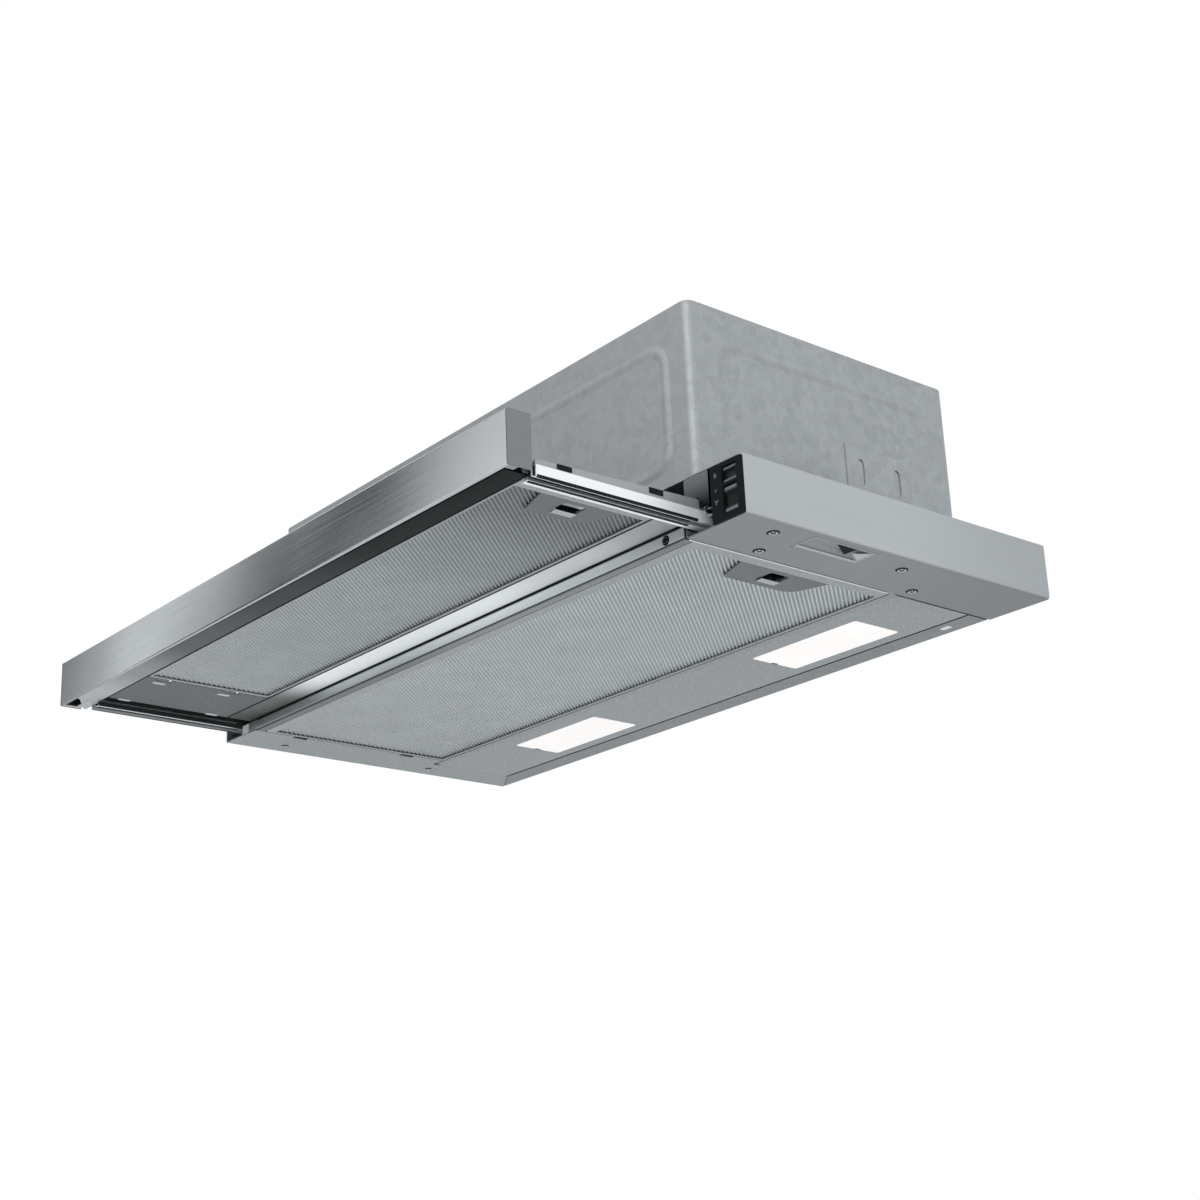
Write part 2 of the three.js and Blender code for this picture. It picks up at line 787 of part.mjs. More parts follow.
/** Channel frame with hinge tabs on the left and a slot for the catch on the right. */
function buildFilterFrame(filter, parent) {
  const { x, y, floor, height } = filter;
  const roof = floor + height;
  const ring = ({ left: a, right: b, front: c, rear: d }, z0, z1) =>
    extrude(
      plateShape(rectangle(x, y, filterCorner), [
        rectangle([x[0] + a, x[1] - b], [y[0] + c, y[1] - d], filterCorner / 3),
      ]),
      "z",
      z0,
      z1,
    );
  const even = (width) => ({ left: width, right: width, front: width, rear: width });
  const axisX = x[0] - hingeInset;
  const axisZ = floor + hingeRise;
  const tabs = filter.hinges.map((middle) =>
    block(
      [axisX + hingeInset - tabReach, x[0] + filterSheet],
      [middle - tabWidth / 2, middle + tabWidth / 2],
      [axisZ - tabThickness / 2, axisZ + tabThickness / 2],
    ),
  );
  const slotFloor = floor + latchSheet + seatGap;
  const catchSlot = block(
    [x[1] - 3 * filterSheet, x[1] + 1],
    [filter.latchMiddle - tongueWidth / 2 - 0.4, filter.latchMiddle + tongueWidth / 2 + 0.4],
    [slotFloor - 0.3, slotFloor + catchThickness + 0.3],
  );
  const body = cut(
    join(
      ring(even(filterSheet), floor, roof),
      ring(filter.rim, floor, floor + filterSheet),
      ring(even(filterTopLip), roof - filterSheet, roof),
      ...tabs,
    ),
    catchSlot,
  );
  piece(filter.name + "_frame", body, aluminium, parent);
}

/** Layered mesh pack: both faces are folded in slanted waves, cut to the frame and the catch. */
function buildFilterMesh(filter, parent) {
  const { x, y, floor, height } = filter;
  const inset = filterSheet + seatGap;
  const span = { x: x[1] - x[0] - 2 * inset, y: y[1] - y[0] - 2 * inset };
  const low = floor + filterSheet + seatGap;
  const high = floor + height - filterSheet - seatGap;
  const lean = THREE.MathUtils.degToRad(meshLean);
  const across = span.x * Math.cos(lean) + span.y * Math.sin(lean);
  const lengthwise = span.x * Math.sin(lean) + span.y * Math.cos(lean);
  const folds = Math.ceil(across / meshPitch) + 1;
  const ridge = (z) => (k) => new THREE.Vector2(((k - folds) * meshPitch) / 2, z + (k % 2) * meshWave);
  const steps = Array.from({ length: 2 * folds + 1 }, (_, k) => k);
  const wave = new THREE.Shape([
    ...steps.map(ridge(low)),
    ...steps.map(ridge(high - meshWave)).reverse(),
  ]);
  const geometry = new THREE.ExtrudeGeometry(wave, { depth: lengthwise + meshPitch, bevelEnabled: false });
  geometry.applyMatrix4(along.y);
  geometry.translate(0, (lengthwise + meshPitch) / 2, 0);
  geometry.rotateZ(lean);
  geometry.translate((x[0] + x[1]) / 2, (y[0] + y[1]) / 2, 0);
  const bounds = block(
    [x[0] + inset, x[1] - inset],
    [y[0] + inset, y[1] - inset],
    [floor, floor + height],
  );
  const [latchEdge, latchFar] = filter.latchHalf.map((half) => half + 2);
  const slotX = [x[1] - filterLip - 1, x[1]];
  const latchCut = join(
    extrude(shapeOf(latchCorners(filter, 0.5)), "z", floor - 1, floor + height + 1),
    block(
      slotX,
      [filter.latchMiddle - latchFar, filter.latchMiddle + latchFar],
      [floor - 1, floor + height + 1],
    ),
  );
  piece(filter.name + "_mesh", cut(solid(geometry).intersect(bounds), latchCut), filterMesh, parent);
}

/** Plate round the finger pull, held on the frame's lip by two ears. */
function buildLatchPlate(filter, parent) {
  const { x, floor, latchMiddle } = filter;
  const edge = x[1] - filterLip - seatGap;
  const plate = extrude(shapeOf(latchCorners(filter, -seatGap), 4), "z", floor, floor + latchSheet);
  const earY = catchWidth / 2 + 1;
  const ears = [-1, 1].map((side) => {
    const span = [latchMiddle + side * earY, latchMiddle + side * (earY + earWidth)];
    return block(
      [edge - 3, x[1] - filterSheet - seatGap],
      [Math.min(...span), Math.max(...span)],
      [floor + filterSheet + seatGap, floor + filterSheet + seatGap + 0.8],
    );
  });
  const pullEnd = edge - 4;
  const opening = rectangle(
    [pullEnd - pullOpening - fingerSheet - catchTravel - 1, pullEnd],
    [latchMiddle - pullWidth / 2, latchMiddle + pullWidth / 2],
    2,
  );
  const body = cut(join(plate, ...ears), extrude(shapeOf(opening, 3), "z", floor - 1, floor + 3));
  piece(filter.name + "_latch_plate", body, darkSteel, parent);
}

/** Sliding catch: a tongue towards the frame's edge and a finger tab in the pull opening. */
function buildCatch(filter, parent) {
  const { x, floor, latchMiddle } = filter;
  const edge = x[1] - filterLip - seatGap;
  const fingerX = edge - 4 - pullOpening - fingerSheet;
  const base = floor + latchSheet + seatGap;
  const across = (width) => [latchMiddle - width / 2, latchMiddle + width / 2];
  const slideBody = block([fingerX, edge - 1], across(catchWidth), [base, base + catchThickness]);
  const window = block(
    [fingerX + fingerSheet, edge - 3],
    across(catchWidth - 2 * catchArm),
    [base - 1, base + catchThickness + 1],
  );
  const tongue = block([edge - 2, x[1] + runningGap / 2], across(tongueWidth), [base, base + catchThickness]);
  const leafWidth = pullWidth - 2 * runningGap;
  const leaf = block(
    [fingerX, fingerX + fingerSheet],
    across(leafWidth),
    [floor - fingerProud, base + catchThickness],
  );
  const foot = block(
    [fingerX - catchTravel - runningGap, fingerX + fingerSheet],
    across(leafWidth),
    [floor - fingerProud, floor - seatGap],
  );
  const body = join(cut(join(slideBody, tongue), window), leaf, foot);
  piece(filter.name + "_catch", body, brightSteel, parent);
}

/** One removable grease filter with its catch. */
function buildFilter(filter, parent = hood) {
  buildFilterFrame(filter, parent);
  buildFilterMesh(filter, parent);
  buildLatchPlate(filter, parent);
  buildCatch(filter, parent);
}

// ---------------------------------------------------------------- drawer
/** Front bar: a folded stainless channel with a cap at each end. */
function buildFrontBar(drawer) {
  const inset = capThickness + seatGap;
  const section = foldedShape(
    [
      [barBack, barRise - barBackLeaf],
      [barBack, barRise],
      [barFront, barRise],
      [barFront, barBottom],
      [barFront + barHem, barBottom],
    ],
    barSheet,
    barSheet / 2,
  );
  piece("front_bar", extrude(section, "x", barLeft + inset, barRight - inset), brushed, drawer);
  const insideY = [barFront + barSheet + seatGap, barBack - barSheet - seatGap];
  const insideTop = barRise - barSheet - seatGap;
  ["left", "right"].forEach((side, i) => {
    const outward = i ? 1 : -1;
    const end = i ? barRight : barLeft;
    const from = (depth) => end - outward * depth;
    const span = (a, b) => [Math.min(from(a), from(b)), Math.max(from(a), from(b))];
    const plate = extrude(
      shapeOf(rectangle([barFront, barBack], [barBottom, barRise], 0.8)),
      "x",
      ...span(0, capThickness),
    );
    const tongueShape = foldedShape(
      [
        [insideY[1], barRise - barBackLeaf],
        [insideY[1], insideTop],
        [insideY[0], insideTop],
        [insideY[0], barBottom + barSheet + seatGap],
      ],
      capThickness,
      barSheet / 2,
    );
    const tongue = extrude(tongueShape, "x", ...span(capThickness / 2, capTongue));
    piece("bar_end_cap_" + side, join(plate, tongue), darkSteel, drawer);
  });
}

/** Front profile inside the bar: its lower flange is the strip seen behind the bar. */
function buildFrontProfile(drawer) {
  const section = foldedShape([
    [profileBack - 5, drawerUnderside + profileHeight],
    [profileFront, drawerUnderside + profileHeight],
    [profileFront, drawerUnderside],
    [profileBack, drawerUnderside],
  ]);
  const body = extrude(section, "x", barLeft + profileLeft, barRight - capTongue - seatGap);
  piece("drawer_front_profile", body, brushed, drawer);
}

/** Pressed drawer plate: a channel beside the left rail, a low flat, and a ledge above the filter. */
function buildDrawerFrame(drawer) {
  const filterTop = drawerUnderside + drawerFilterHeight + runningGap;
  const stepX = drawerFilter.x[0] - filterSideGap;
  const section = foldedShape([
    [plateLeft, channelRoof],
    [channelEdge, channelRoof],
    [channelEdge, drawerUnderside],
    [stepX, drawerUnderside],
    [stepX, filterTop],
    [drawerRight - railWidth - seatGap, filterTop],
  ]);
  const y = [profileBack + seatGap, crossbarFront - seatGap];
  const opening = rectangle(
    [stepX + drawerLedge, drawerRight - railWidth - drawerLedge * 1.6],
    [y[0] + drawerLedge, y[1] - drawerLedge],
    3,
  );
  const channelEnd = block(
    [plateLeft, channelEdge - bendRadius],
    [y[1] - 1, crossbarFront + crossbarDepth],
    [channelRoof, channelRoof + sheet],
  );
  const body = cut(
    join(extrude(section, "y", ...y), channelEnd),
    extrude(shapeOf(opening), "z", filterTop - 1, filterTop + 3),
    ...hingeNotches(drawerFilter),
  );
  piece("drawer_frame", body, darkSteel, drawer);
}

/** Bright channel across the drawer's rear, between the rails. */
function buildCrossbar(drawer) {
  const back = crossbarFront + crossbarDepth;
  const section = foldedShape([
    [crossbarFront, drawerUnderside + crossbarHeight],
    [crossbarFront, drawerUnderside],
    [back, drawerUnderside],
    [back, drawerUnderside + crossbarHeight],
  ]);
  const x = [channelEdge + sheet + seatGap, drawerRight - railWidth - seatGap];
  piece("drawer_rear_crossbar", extrude(section, "x", ...x), brightSteel, drawer);
}

/** Drawer rail, drawn for the right side with its outer face at x = 0: three walls below a web. */
function railSolid() {
  const floor = railFloor;
  const roof = railFloor + railHeight;
  const wall = sheet;
  const inner = -railWidth;
  const section = shapeOf([
    [0, floor],
    [0, floor + railBand],
    [-railJoggle, floor + railBand + railJoggle],
    [-railJoggle, roof],
    [inner, roof],
    [inner, floor],
    [inner + railLip, floor, 0.4],
    [inner + railLip, floor + wall, 0.4],
    [inner + wall, floor + wall],
    [inner + wall, roof - wall],
    [-railRib - wall / 2, roof - wall],
    [-railRib - wall / 2, floor + 1.5],
    [-railRib + wall / 2, floor + 1.5],
    [-railRib + wall / 2, roof - wall],
    [-railJoggle - wall, roof - wall],
    [-railJoggle - wall, floor + railBand],
    [-wall, floor + railBand - railJoggle],
    [-wall, floor],
  ]);
  const railFront = profileBack + seatGap;
  const railRear = front + railRearReach;
  const slope = shapeOf([
    [railFront - 1, roof - railFrontFall],
    [front, roof],
    [front, roof + 2],
    [railFront - 1, roof + 2],
  ]);
  const [notchLength, notchDepth] = railNotch;
  const notches = railNotchPlaces.map((ahead) =>
    block(
      [-railJoggle - 1.5 * wall, wall],
      [front - ahead - notchLength / 2, front - ahead + notchLength / 2],
      [roof - notchDepth - railFrontFall / 2, roof + 1],
    ),
  );
  const foldRoof = block(
    [inner - 1, -railJoggle - wall],
    [railFront - 1, front],
    [roof - railFrontFall - wall, roof + 1],
  );
  const lowWeb = block(
    [inner, -railJoggle - wall / 2],
    [railFront, front + 1],
    [roof - railFrontFall - 2 * wall, roof - railFrontFall - wall],
  );
  const rail = extrude(section, "y", railFront, railRear);
  return cut(join(cut(rail, foldRoof), lowWeb), extrude(slope, "x", inner - 1, 1), ...notches);
}

/** Slide member screwed to the drawer rail: a T with ball grooves along its head. */
function innerSlideSolid() {
  const z = (offset) => slideMiddle + offset;
  const half = innerHeadHeight / 2;
  const web = innerWeb / 2;
  const groove = 0.5;
  const upper = [
    [seatGap + slideWall, web],
    [seatGap + slideWall, 1.3],
    [innerHeadStart, 1.3],
    [innerHeadStart, half],
    [ballSeat - ballRadius / 2, half],
    [ballSeat, half - groove],
    [ballSeat + ballRadius / 2, half],
    [innerHeadEnd, half],
  ];
  const lower = upper.map(([u, v]) => [u, -v]).reverse();
  const ring = [[seatGap, web], ...upper, ...lower, [seatGap, -web]];
  const section = shapeOf(ring.map(([u, v]) => [u, z(v)]));
  const from = front + slideFrontInset;
  return extrude(section, "y", from, front + railRearReach);
}

/** Fixed slide member: a channel round the inner one, closed by a stop at its rear end. */
function outerSlideSolid() {
  const half = slideHeight / 2;
  const open = slideWidth - 6.7;
  const section = foldedShape(
    [
      [open, slideMiddle - half],
      [slideWidth, slideMiddle - half],
      [slideWidth, slideMiddle + half],
      [open, slideMiddle + half],
    ],
    slideWall,
    0.4,
  );
  const rear = -slideRearInset;
  const stop = block(
    [open, slideWidth - slideWall / 2],
    [rear - slideWall, rear],
    [slideMiddle - half + slideWall / 2, slideMiddle + half - slideWall / 2],
  );
  return join(extrude(section, "y", front + slideFrontInset, rear), stop);
}

/** Ball cage: a thin channel with two rows of balls pressed into it. */
function cageSolid() {
  const rowOffset = innerHeadHeight / 2 + 0.3 + ballRadius;
  const webFace = slideWidth - slideWall - 0.3;
  const arm = rowOffset + cageSheet / 2;
  const section = foldedShape(
    [
      [innerHeadStart, slideMiddle - arm],
      [webFace, slideMiddle - arm],
      [webFace, slideMiddle + arm],
      [innerHeadStart, slideMiddle + arm],
    ],
    cageSheet,
    0.2,
  );
  const cageFront = front + cageStart;
  const balls = [];
  for (let i = 0; i < ballCount; i++) {
    for (const side of [-1, 1]) {
      const ball = new THREE.SphereGeometry(ballRadius, 7, 5);
      const y = cageFront + (cageLength * (i + 0.5)) / ballCount;
      balls.push(solid(ball.translate(ballSeat, y, slideMiddle + side * rowOffset)));
    }
  }
  return join(extrude(section, "y", cageFront, cageFront + cageLength), ...balls);
}

/** Guard plate over the slide's front end; the inner member stops against it. */
function guardSolid(outerGap) {
  const thickness = 1.4;
  const roof = railFloor + railHeight + runningGap;
  const body = block(
    [-railWidth + 1, slideWidth - outerGap],
    [front, front + thickness],
    [roof, -sheet - seatGap],
  );
  const leg = block([runningGap, slideWidth - outerGap], [front, front + thickness], [slideMiddle - 3, roof + 1]);
  return join(body, leg);
}

/** Rails, slides and cages; the left side is the right one mirrored. */
function buildSlides(drawer) {
  ["left", "right"].forEach((side, i) => {
    const place = (parent) => {
      const group = new THREE.Group();
      group.position.x = i ? drawerRight : drawerLeft;
      group.scale.x = i ? 1 : -1;
      parent.add(group);
      return group;
    };
    const moving = place(drawer);
    const fixed = place(hood);
    piece("drawer_rail_" + side, railSolid(), aluminium, moving);
    piece("slide_inner_" + side, innerSlideSolid(), brightSteel, moving);
    piece("slide_outer_" + side, outerSlideSolid(), galvanised, fixed);
    piece("ball_cage_" + side, cageSolid(), brightSteel, fixed);
    piece("slot_guard_" + side, guardSolid(i ? 0 : seatGap), darkSteel, fixed);
  });
}

// ---------------------------------------------------------------- upper housing and air path
/** Motor housing: a deep-drawn box, open below, with a flange that stands on the canopy. */
function buildHousing() {
  const x = [housingLeft, housingRight];
  const y = [housingFront, housingBack];
  const grown = (by) => [
    [x[0] - by, x[1] + by],
    [y[0] - by, y[1] + by],
  ];
  const shell = cut(
    extrude(shapeOf(rectangle(...grown(0), housingCorner), 3), "z", seatGap, housingTop),
    extrude(
      shapeOf(rectangle(...grown(-sheet), housingCorner - sheet), 3),
      "z",
      0,
      housingTop - sheet,
    ),
    rod("z", collarRadius - collarWall / 2, [housingTop - 3, housingTop + 1], [0, collarY], 48),
  );
  const flange = extrude(
    plateShape(rectangle(...grown(housingFlange), 3), [rectangle(...grown(-sheet / 2), housingCorner)]),
    "z",
    seatGap,
    seatGap + sheet,
  );
  piece("motor_housing", join(shell, flange), galvanised);
}

/** Outlet collar with a base flange, a ledge for the flaps and holes for their pin. */
function buildCollar() {
  const inner = collarRadius - collarWall;
  const pinZ = collarSeat + pinHeight;
  const ledgeTop = pinZ - flapSheet / 2 - 0.4;
  const body = revolve(
    [
      [inner, collarSeat],
      [collarRadius + collarBase, collarSeat],
      [collarRadius + collarBase, collarSeat + collarWall],
      [collarRadius, collarSeat + collarWall + 1.5],
      [collarRadius, collarSeat + collarHeight],
      [inner, collarSeat + collarHeight],
      [inner, ledgeTop],
      [inner - collarLedge, ledgeTop],
      [inner - collarLedge, ledgeTop - 1],
      [inner, ledgeTop - collarLedge - 1],
    ],
    "z",
    [0, collarY],
    48,
  );
  const pinBore = rod(
    "x",
    pinRadius + 0.2,
    [-collarRadius - 2, collarRadius + 2],
    [collarY, pinZ],
    12,
  );
  piece("outlet_collar", cut(body, pinBore), blackPlastic);
  const pin = rod("x", pinRadius, [-collarRadius, collarRadius], [collarY, pinZ], 12);
  piece("damper_pin", pin, brightSteel);
  ["front", "rear"].forEach((side, i) => buildFlap(side, i ? 1 : -1, pinZ));
}

/** Half-round damper flap with a sleeve on its own half of the pin. */
function buildFlap(side, outward, pinZ) {
  const sleeveInner = pinRadius + 0.3;
  const sleeveOuter = sleeveInner + sleeveWall;
  const radius = collarRadius - collarWall - 1.5;
  const reach = radius - 4;
  const disc = rod("z", radius, [pinZ - flapSheet / 2, pinZ + flapSheet / 2], [0, collarY], 36);
  const span = (a, b) => [Math.min(outward * a, outward * b), Math.max(outward * a, outward * b)];
  const onSide = (a, b) => span(a, b).map((value) => collarY + value);
  const half = disc.intersect(
    block([-collarRadius, collarRadius], onSide(sleeveOuter + 0.6, radius + 1), [pinZ - 2, pinZ + 2]),
  );
  const sleeveX = span(2, reach);
  const neck = block(
    sleeveX,
    onSide(sleeveInner + 0.3, sleeveOuter + 1.2),
    [pinZ - flapSheet / 2, pinZ + flapSheet / 2],
  );
  const sleeve = cut(
    join(rod("x", sleeveOuter, sleeveX, [collarY, pinZ], 16), neck),
    rod("x", sleeveInner, [sleeveX[0] - 1, sleeveX[1] + 1], [collarY, pinZ], 16),
  );
  piece("damper_flap_" + side, join(half, sleeve), greyPlastic);
}

/** Volute: round beside the outlet, then its radius grows evenly from the tongue to the outlet wall. */
function voluteSolid(grow, x, top) {
  const turns = 22;
  const throatSteps = 5;
  const at = (degrees, radius) => {
    const angle = THREE.MathUtils.degToRad(degrees);
    return new THREE.Vector2(
      blowerY + (radius + grow) * Math.cos(angle),
      blowerRise + (radius + grow) * Math.sin(angle),
    );
  };
  const throat = Array.from({ length: throatSteps }, (_, i) =>
    at((tongueAngle * i) / throatSteps, tongueRadius),
  );
  const spiral = Array.from({ length: turns + 1 }, (_, i) => {
    const share = i / turns;
    return at(
      tongueAngle + (360 - tongueAngle) * share,
      tongueRadius + (outletRadius - tongueRadius) * share,
    );
  });
  const chamber = extrude(new THREE.Shape([...throat, ...spiral]), "x", ...x);
  const duct = block(x, [tongueY - grow, outletY + grow], [blowerRise - grow / 3, top]);
  return join(chamber, duct);
}

/** Blower: volute housing, squirrel-cage impeller, shaft, motor and its bracket. */
function buildBlower() {
  const half = blowerWidth / 2;
  const top = housingTop - sheet - seatGap;
  const axis = [blowerY, blowerRise];
  const scroll = cut(
    voluteSolid(scrollWall, [-half, half], top),
    voluteSolid(0, [-half + scrollWall, half - scrollWall], top + 1),
    rod("x", inletRadius, [-half - 1, -half + scrollWall + 1], axis, 36),
    rod("x", hubRadius + 4, [half - scrollWall - 1, half + 1], axis, 24),
  );
  piece("blower_scroll", scroll, galvanised);

  const inletEnd = -impellerWidth / 2;
  const discEnd = impellerWidth / 2;
  const root = impellerRadius - bladeDepth;
  const cage = [];
  for (let i = 0; i < bladeCount; i++) {
    cage.push(bladeSolid((2 * Math.PI * i) / bladeCount, root, [inletEnd, discEnd]));
  }
  const rim = revolve(
    [
      [root - 0.6, inletEnd - 1],
      [impellerRadius + 0.5, inletEnd - 1],
      [impellerRadius + 0.5, inletEnd + 1],
      [root - 0.6, inletEnd + 1],
    ],
    "x",
    axis,
  );
  const hub = revolve(
    [
      [shaftRadius + seatGap, discEnd - hubLength],
      [hubRadius, discEnd - hubLength],
      [hubRadius, discEnd - 1],
      [impellerRadius + 0.5, discEnd - 1],
      [impellerRadius + 0.5, discEnd + 0.6],
      [shaftRadius + seatGap, discEnd + 0.6],
    ],
    "x",
    axis,
  );
  piece("impeller", join(hub, rim, ...cage), greyPlastic);

  const bracketX = half + seatGap;
  const motorFace = bracketX + bracketSheet + seatGap;
  const shaftEnd = motorFace + 14;
  piece("motor_shaft", rod("x", shaftRadius, [discEnd - hubLength + 2, shaftEnd], axis, 16), brightSteel);
  const arms = [90, 210, 330].map((degrees) => armShape(degrees, axis));
  const plate = join(
    rod("x", motorRadius - 4, [bracketX, bracketX + bracketSheet], axis, 32),
    ...arms.map((arm) => extrude(arm, "x", bracketX, bracketX + bracketSheet)),
  );
  const shaftHole = rod("x", hubRadius + 2, [bracketX - 1, bracketX + bracketSheet + 1], axis, 24);
  piece("motor_bracket", cut(plate, shaftHole), galvanised);
  const bore = shaftRadius + 0.3;
  const motorEnd = motorFace + motorLength;
  const motor = revolve(
    [
      [0, shaftEnd + 1],
      [bore, shaftEnd + 1],
      [bore, motorFace],
      [motorRadius - 12, motorFace],
      [motorRadius - 4, motorFace + 3],
      [motorRadius - 4, motorFace + 11],
      [motorRadius, motorFace + 11],
      [motorRadius, motorEnd - 11],
      [motorRadius - 4, motorEnd - 11],
      [motorRadius - 4, motorEnd - 3],
      [motorRadius - 14, motorEnd],
      [0, motorEnd],
    ],
    "x",
    axis,
    28,
  );
  piece("motor", motor, copper);
}

/** A forward-curved blade: its line leans ahead with the square of the way out. */
function bladeSolid(turn, root, x) {
  const steps = 4;
  const sweep = THREE.MathUtils.degToRad(bladeSweep);
  const side = (offset) =>
    Array.from({ length: steps + 1 }, (_, k) => {
      const share = k / steps;
      const radius = root + bladeDepth * share;
      const angle = turn + sweep * share * share + offset / radius;
      return new THREE.Vector2(blowerY + radius * Math.cos(angle), blowerRise + radius * Math.sin(angle));
    });
  const outline = [...side(-bladeSheet / 2), ...side(bladeSheet / 2).reverse()];
  return extrude(new THREE.Shape(outline), "x", ...x);
}

/** One arm of the motor bracket, with a round end at its screw. */
function armShape(degrees, [y, z]) {
  const reach = tongueRadius - 4;
  const halfWidth = 6;
  const centre = new THREE.Vector2(y, z);
  const angle = THREE.MathUtils.degToRad(degrees);
  const corners = rounded([
    [0, -halfWidth],
    [reach, -halfWidth, halfWidth - 0.5],
    [reach, halfWidth, halfWidth - 0.5],
    [0, halfWidth],
  ]);
  return new THREE.Shape(corners.map((point) => point.rotateAround(new THREE.Vector2(), angle).add(centre)));
}

/** Electrics: run capacitor, connection box with its lid and the cable gland. */
function buildElectrics() {
  const capacitorY = housingBack - sheet - 0.3 - capacitorRadius;
  const start = blowerWidth / 2 + motorLength + capacitorGap;
  const capacitor = rod("x", capacitorRadius, [start, start + capacitorLength], [capacitorY, blowerRise], 28);
  piece("capacitor", capacitor, palePlastic);

  const [length, depth, height] = boxSize;
  const x = [housingLeft + boxInset, housingLeft + boxInset + length];
  const y = [collarY - depth / 2, collarY + depth / 2];
  const floor = housingTop + seatGap;
  const inset = (by) => [
    [x[0] + by, x[1] - by],
    [y[0] + by, y[1] - by],
  ];
  const box = cut(
    extrude(shapeOf(rectangle(x, y, 3)), "z", floor, floor + height),
    extrude(shapeOf(rectangle(...inset(boxWall), 2)), "z", floor + boxWall, floor + height + 1),
  );
  piece("connection_box", box, blackPlastic);
  const lidFloor = floor + height + seatGap;
  const lid = join(
    extrude(shapeOf(rectangle(x, y, 3)), "z", lidFloor, lidFloor + boxWall),
    extrude(shapeOf(rectangle(...inset(boxWall + 0.3), 2)), "z", lidFloor - 2, lidFloor + 0.5),
  );
  piece("connection_box_lid", lid, blackPlastic);
  const glandFace = x[0] - seatGap;
  const gland = revolve(
    [
      [0, glandFace - 14],
      [5, glandFace - 14],
      [7, glandFace - 12],
      [7, glandFace - 5],
      [9, glandFace - 5],
      [9, glandFace],
      [0, glandFace],
    ],
    "x",
    [collarY, floor + height / 2],
    6,
  );
  piece("cable_gland", gland, blackPlastic);
}

/** Angle brackets that are screwed to the cabinet's sides. */
function buildSideBrackets() {
  const [leaf, height, length] = sideBracket;
  ["left", "right"].forEach((side, i) => {
    const outer = cabinetInner / 2;
    const section = foldedShape(
      [
        [outer, height],
        [outer, seatGap],
        [outer - leaf, seatGap],
      ].reverse(),
      sideBracketSheet,
    );
    const middleY = (housingFront + housingBack) / 2;
    const slots = [-1, 1].map((at) =>
      extrude(
        shapeOf(
          rectangle(
            [middleY + at * length * 0.28 - 3, middleY + at * length * 0.28 + 3],
            [height * 0.35, height * 0.8],
            2.9,
          ),
        ),
        "x",
        outer - 4,
        outer + 1,
      ),
    );
    const group = new THREE.Group();
    group.scale.x = i ? 1 : -1;
    hood.add(group);
    const body = cut(extrude(section, "y", middleY - length / 2, middleY + length / 2), ...slots);
    piece("side_bracket_" + side, body, galvanised, group);
  });
}

// ---------------------------------------------------------------- assembly
buildCanopy();
buildRearStrip();
buildFrontLip();
buildRightCover();
buildWindowTray();
buildSlideBracket();
buildControlPanel();
buildRocker("fan_rocker", fanZ);
buildRocker("light_rocker", lightZ);
buildSwitchUnit();
buildDrawerSwitch();
buildLamps();
buildFilter(mainFilter);

const drawer = new THREE.Group();
hood.add(drawer);
buildFrontBar(drawer);
buildFrontProfile(drawer);
buildDrawerFrame(drawer);
buildCrossbar(drawer);
buildSlides(drawer);
buildFilter(drawerFilter, drawer);

buildHousing();
buildCollar();
buildBlower();
buildElectrics();
buildSideBrackets();

export default hood;
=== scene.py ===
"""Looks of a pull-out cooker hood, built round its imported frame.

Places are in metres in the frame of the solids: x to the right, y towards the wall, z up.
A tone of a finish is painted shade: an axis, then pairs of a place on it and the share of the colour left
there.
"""

import logging
import math
from collections.abc import Callable
from dataclasses import dataclass
from enum import Enum

import bmesh
import bpy
import numpy as np
from mathutils import Euler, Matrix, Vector


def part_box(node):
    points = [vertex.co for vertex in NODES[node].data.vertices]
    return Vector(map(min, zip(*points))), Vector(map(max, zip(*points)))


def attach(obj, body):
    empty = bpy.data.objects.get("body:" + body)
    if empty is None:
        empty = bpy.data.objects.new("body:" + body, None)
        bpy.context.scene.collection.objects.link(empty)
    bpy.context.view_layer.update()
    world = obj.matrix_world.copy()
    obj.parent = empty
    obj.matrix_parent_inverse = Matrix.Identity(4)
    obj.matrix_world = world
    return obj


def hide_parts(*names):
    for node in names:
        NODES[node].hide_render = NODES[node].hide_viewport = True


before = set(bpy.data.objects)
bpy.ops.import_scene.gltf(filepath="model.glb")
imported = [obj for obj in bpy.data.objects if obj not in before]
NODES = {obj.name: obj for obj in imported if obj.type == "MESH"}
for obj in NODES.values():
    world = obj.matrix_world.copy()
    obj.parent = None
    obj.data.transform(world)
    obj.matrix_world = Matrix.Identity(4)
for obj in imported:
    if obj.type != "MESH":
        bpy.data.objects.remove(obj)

log = logging.getLogger("hood")
MM = 0.001
SIDES = (("left", -1), ("right", 1))  # each end of the hood and the sign of its x
DOWN, UP, FORWARD = (0, 0, -1), (0, 0, 1), (0, -1, 0)
BLACK = (0.0, 0.0, 0.0)
EDGE_TINT = (0.96, 0.985, 1.0)  # what bare metal reflects at a grazing angle
WHOLE = (0.0, 1.0)
MOST = (0.3, 0.7)  # where nearly all values of a noise lie
FOLD_LEAN = math.radians(40)  # the mesh packs' folds, from the y axis
POLISH = 2500.0  # grain of polished metal, per metre
Socket = bpy.types.NodeSocket


# ---------------------------------------------------------------- finishes
class Grain(Enum):
    """Direction of a brushed finish, as the scale of its streaks along x, y and z."""

    ALONG_X = (7.0, 1500.0, 1500.0)
    ALONG_Y = (1500.0, 7.0, 1500.0)


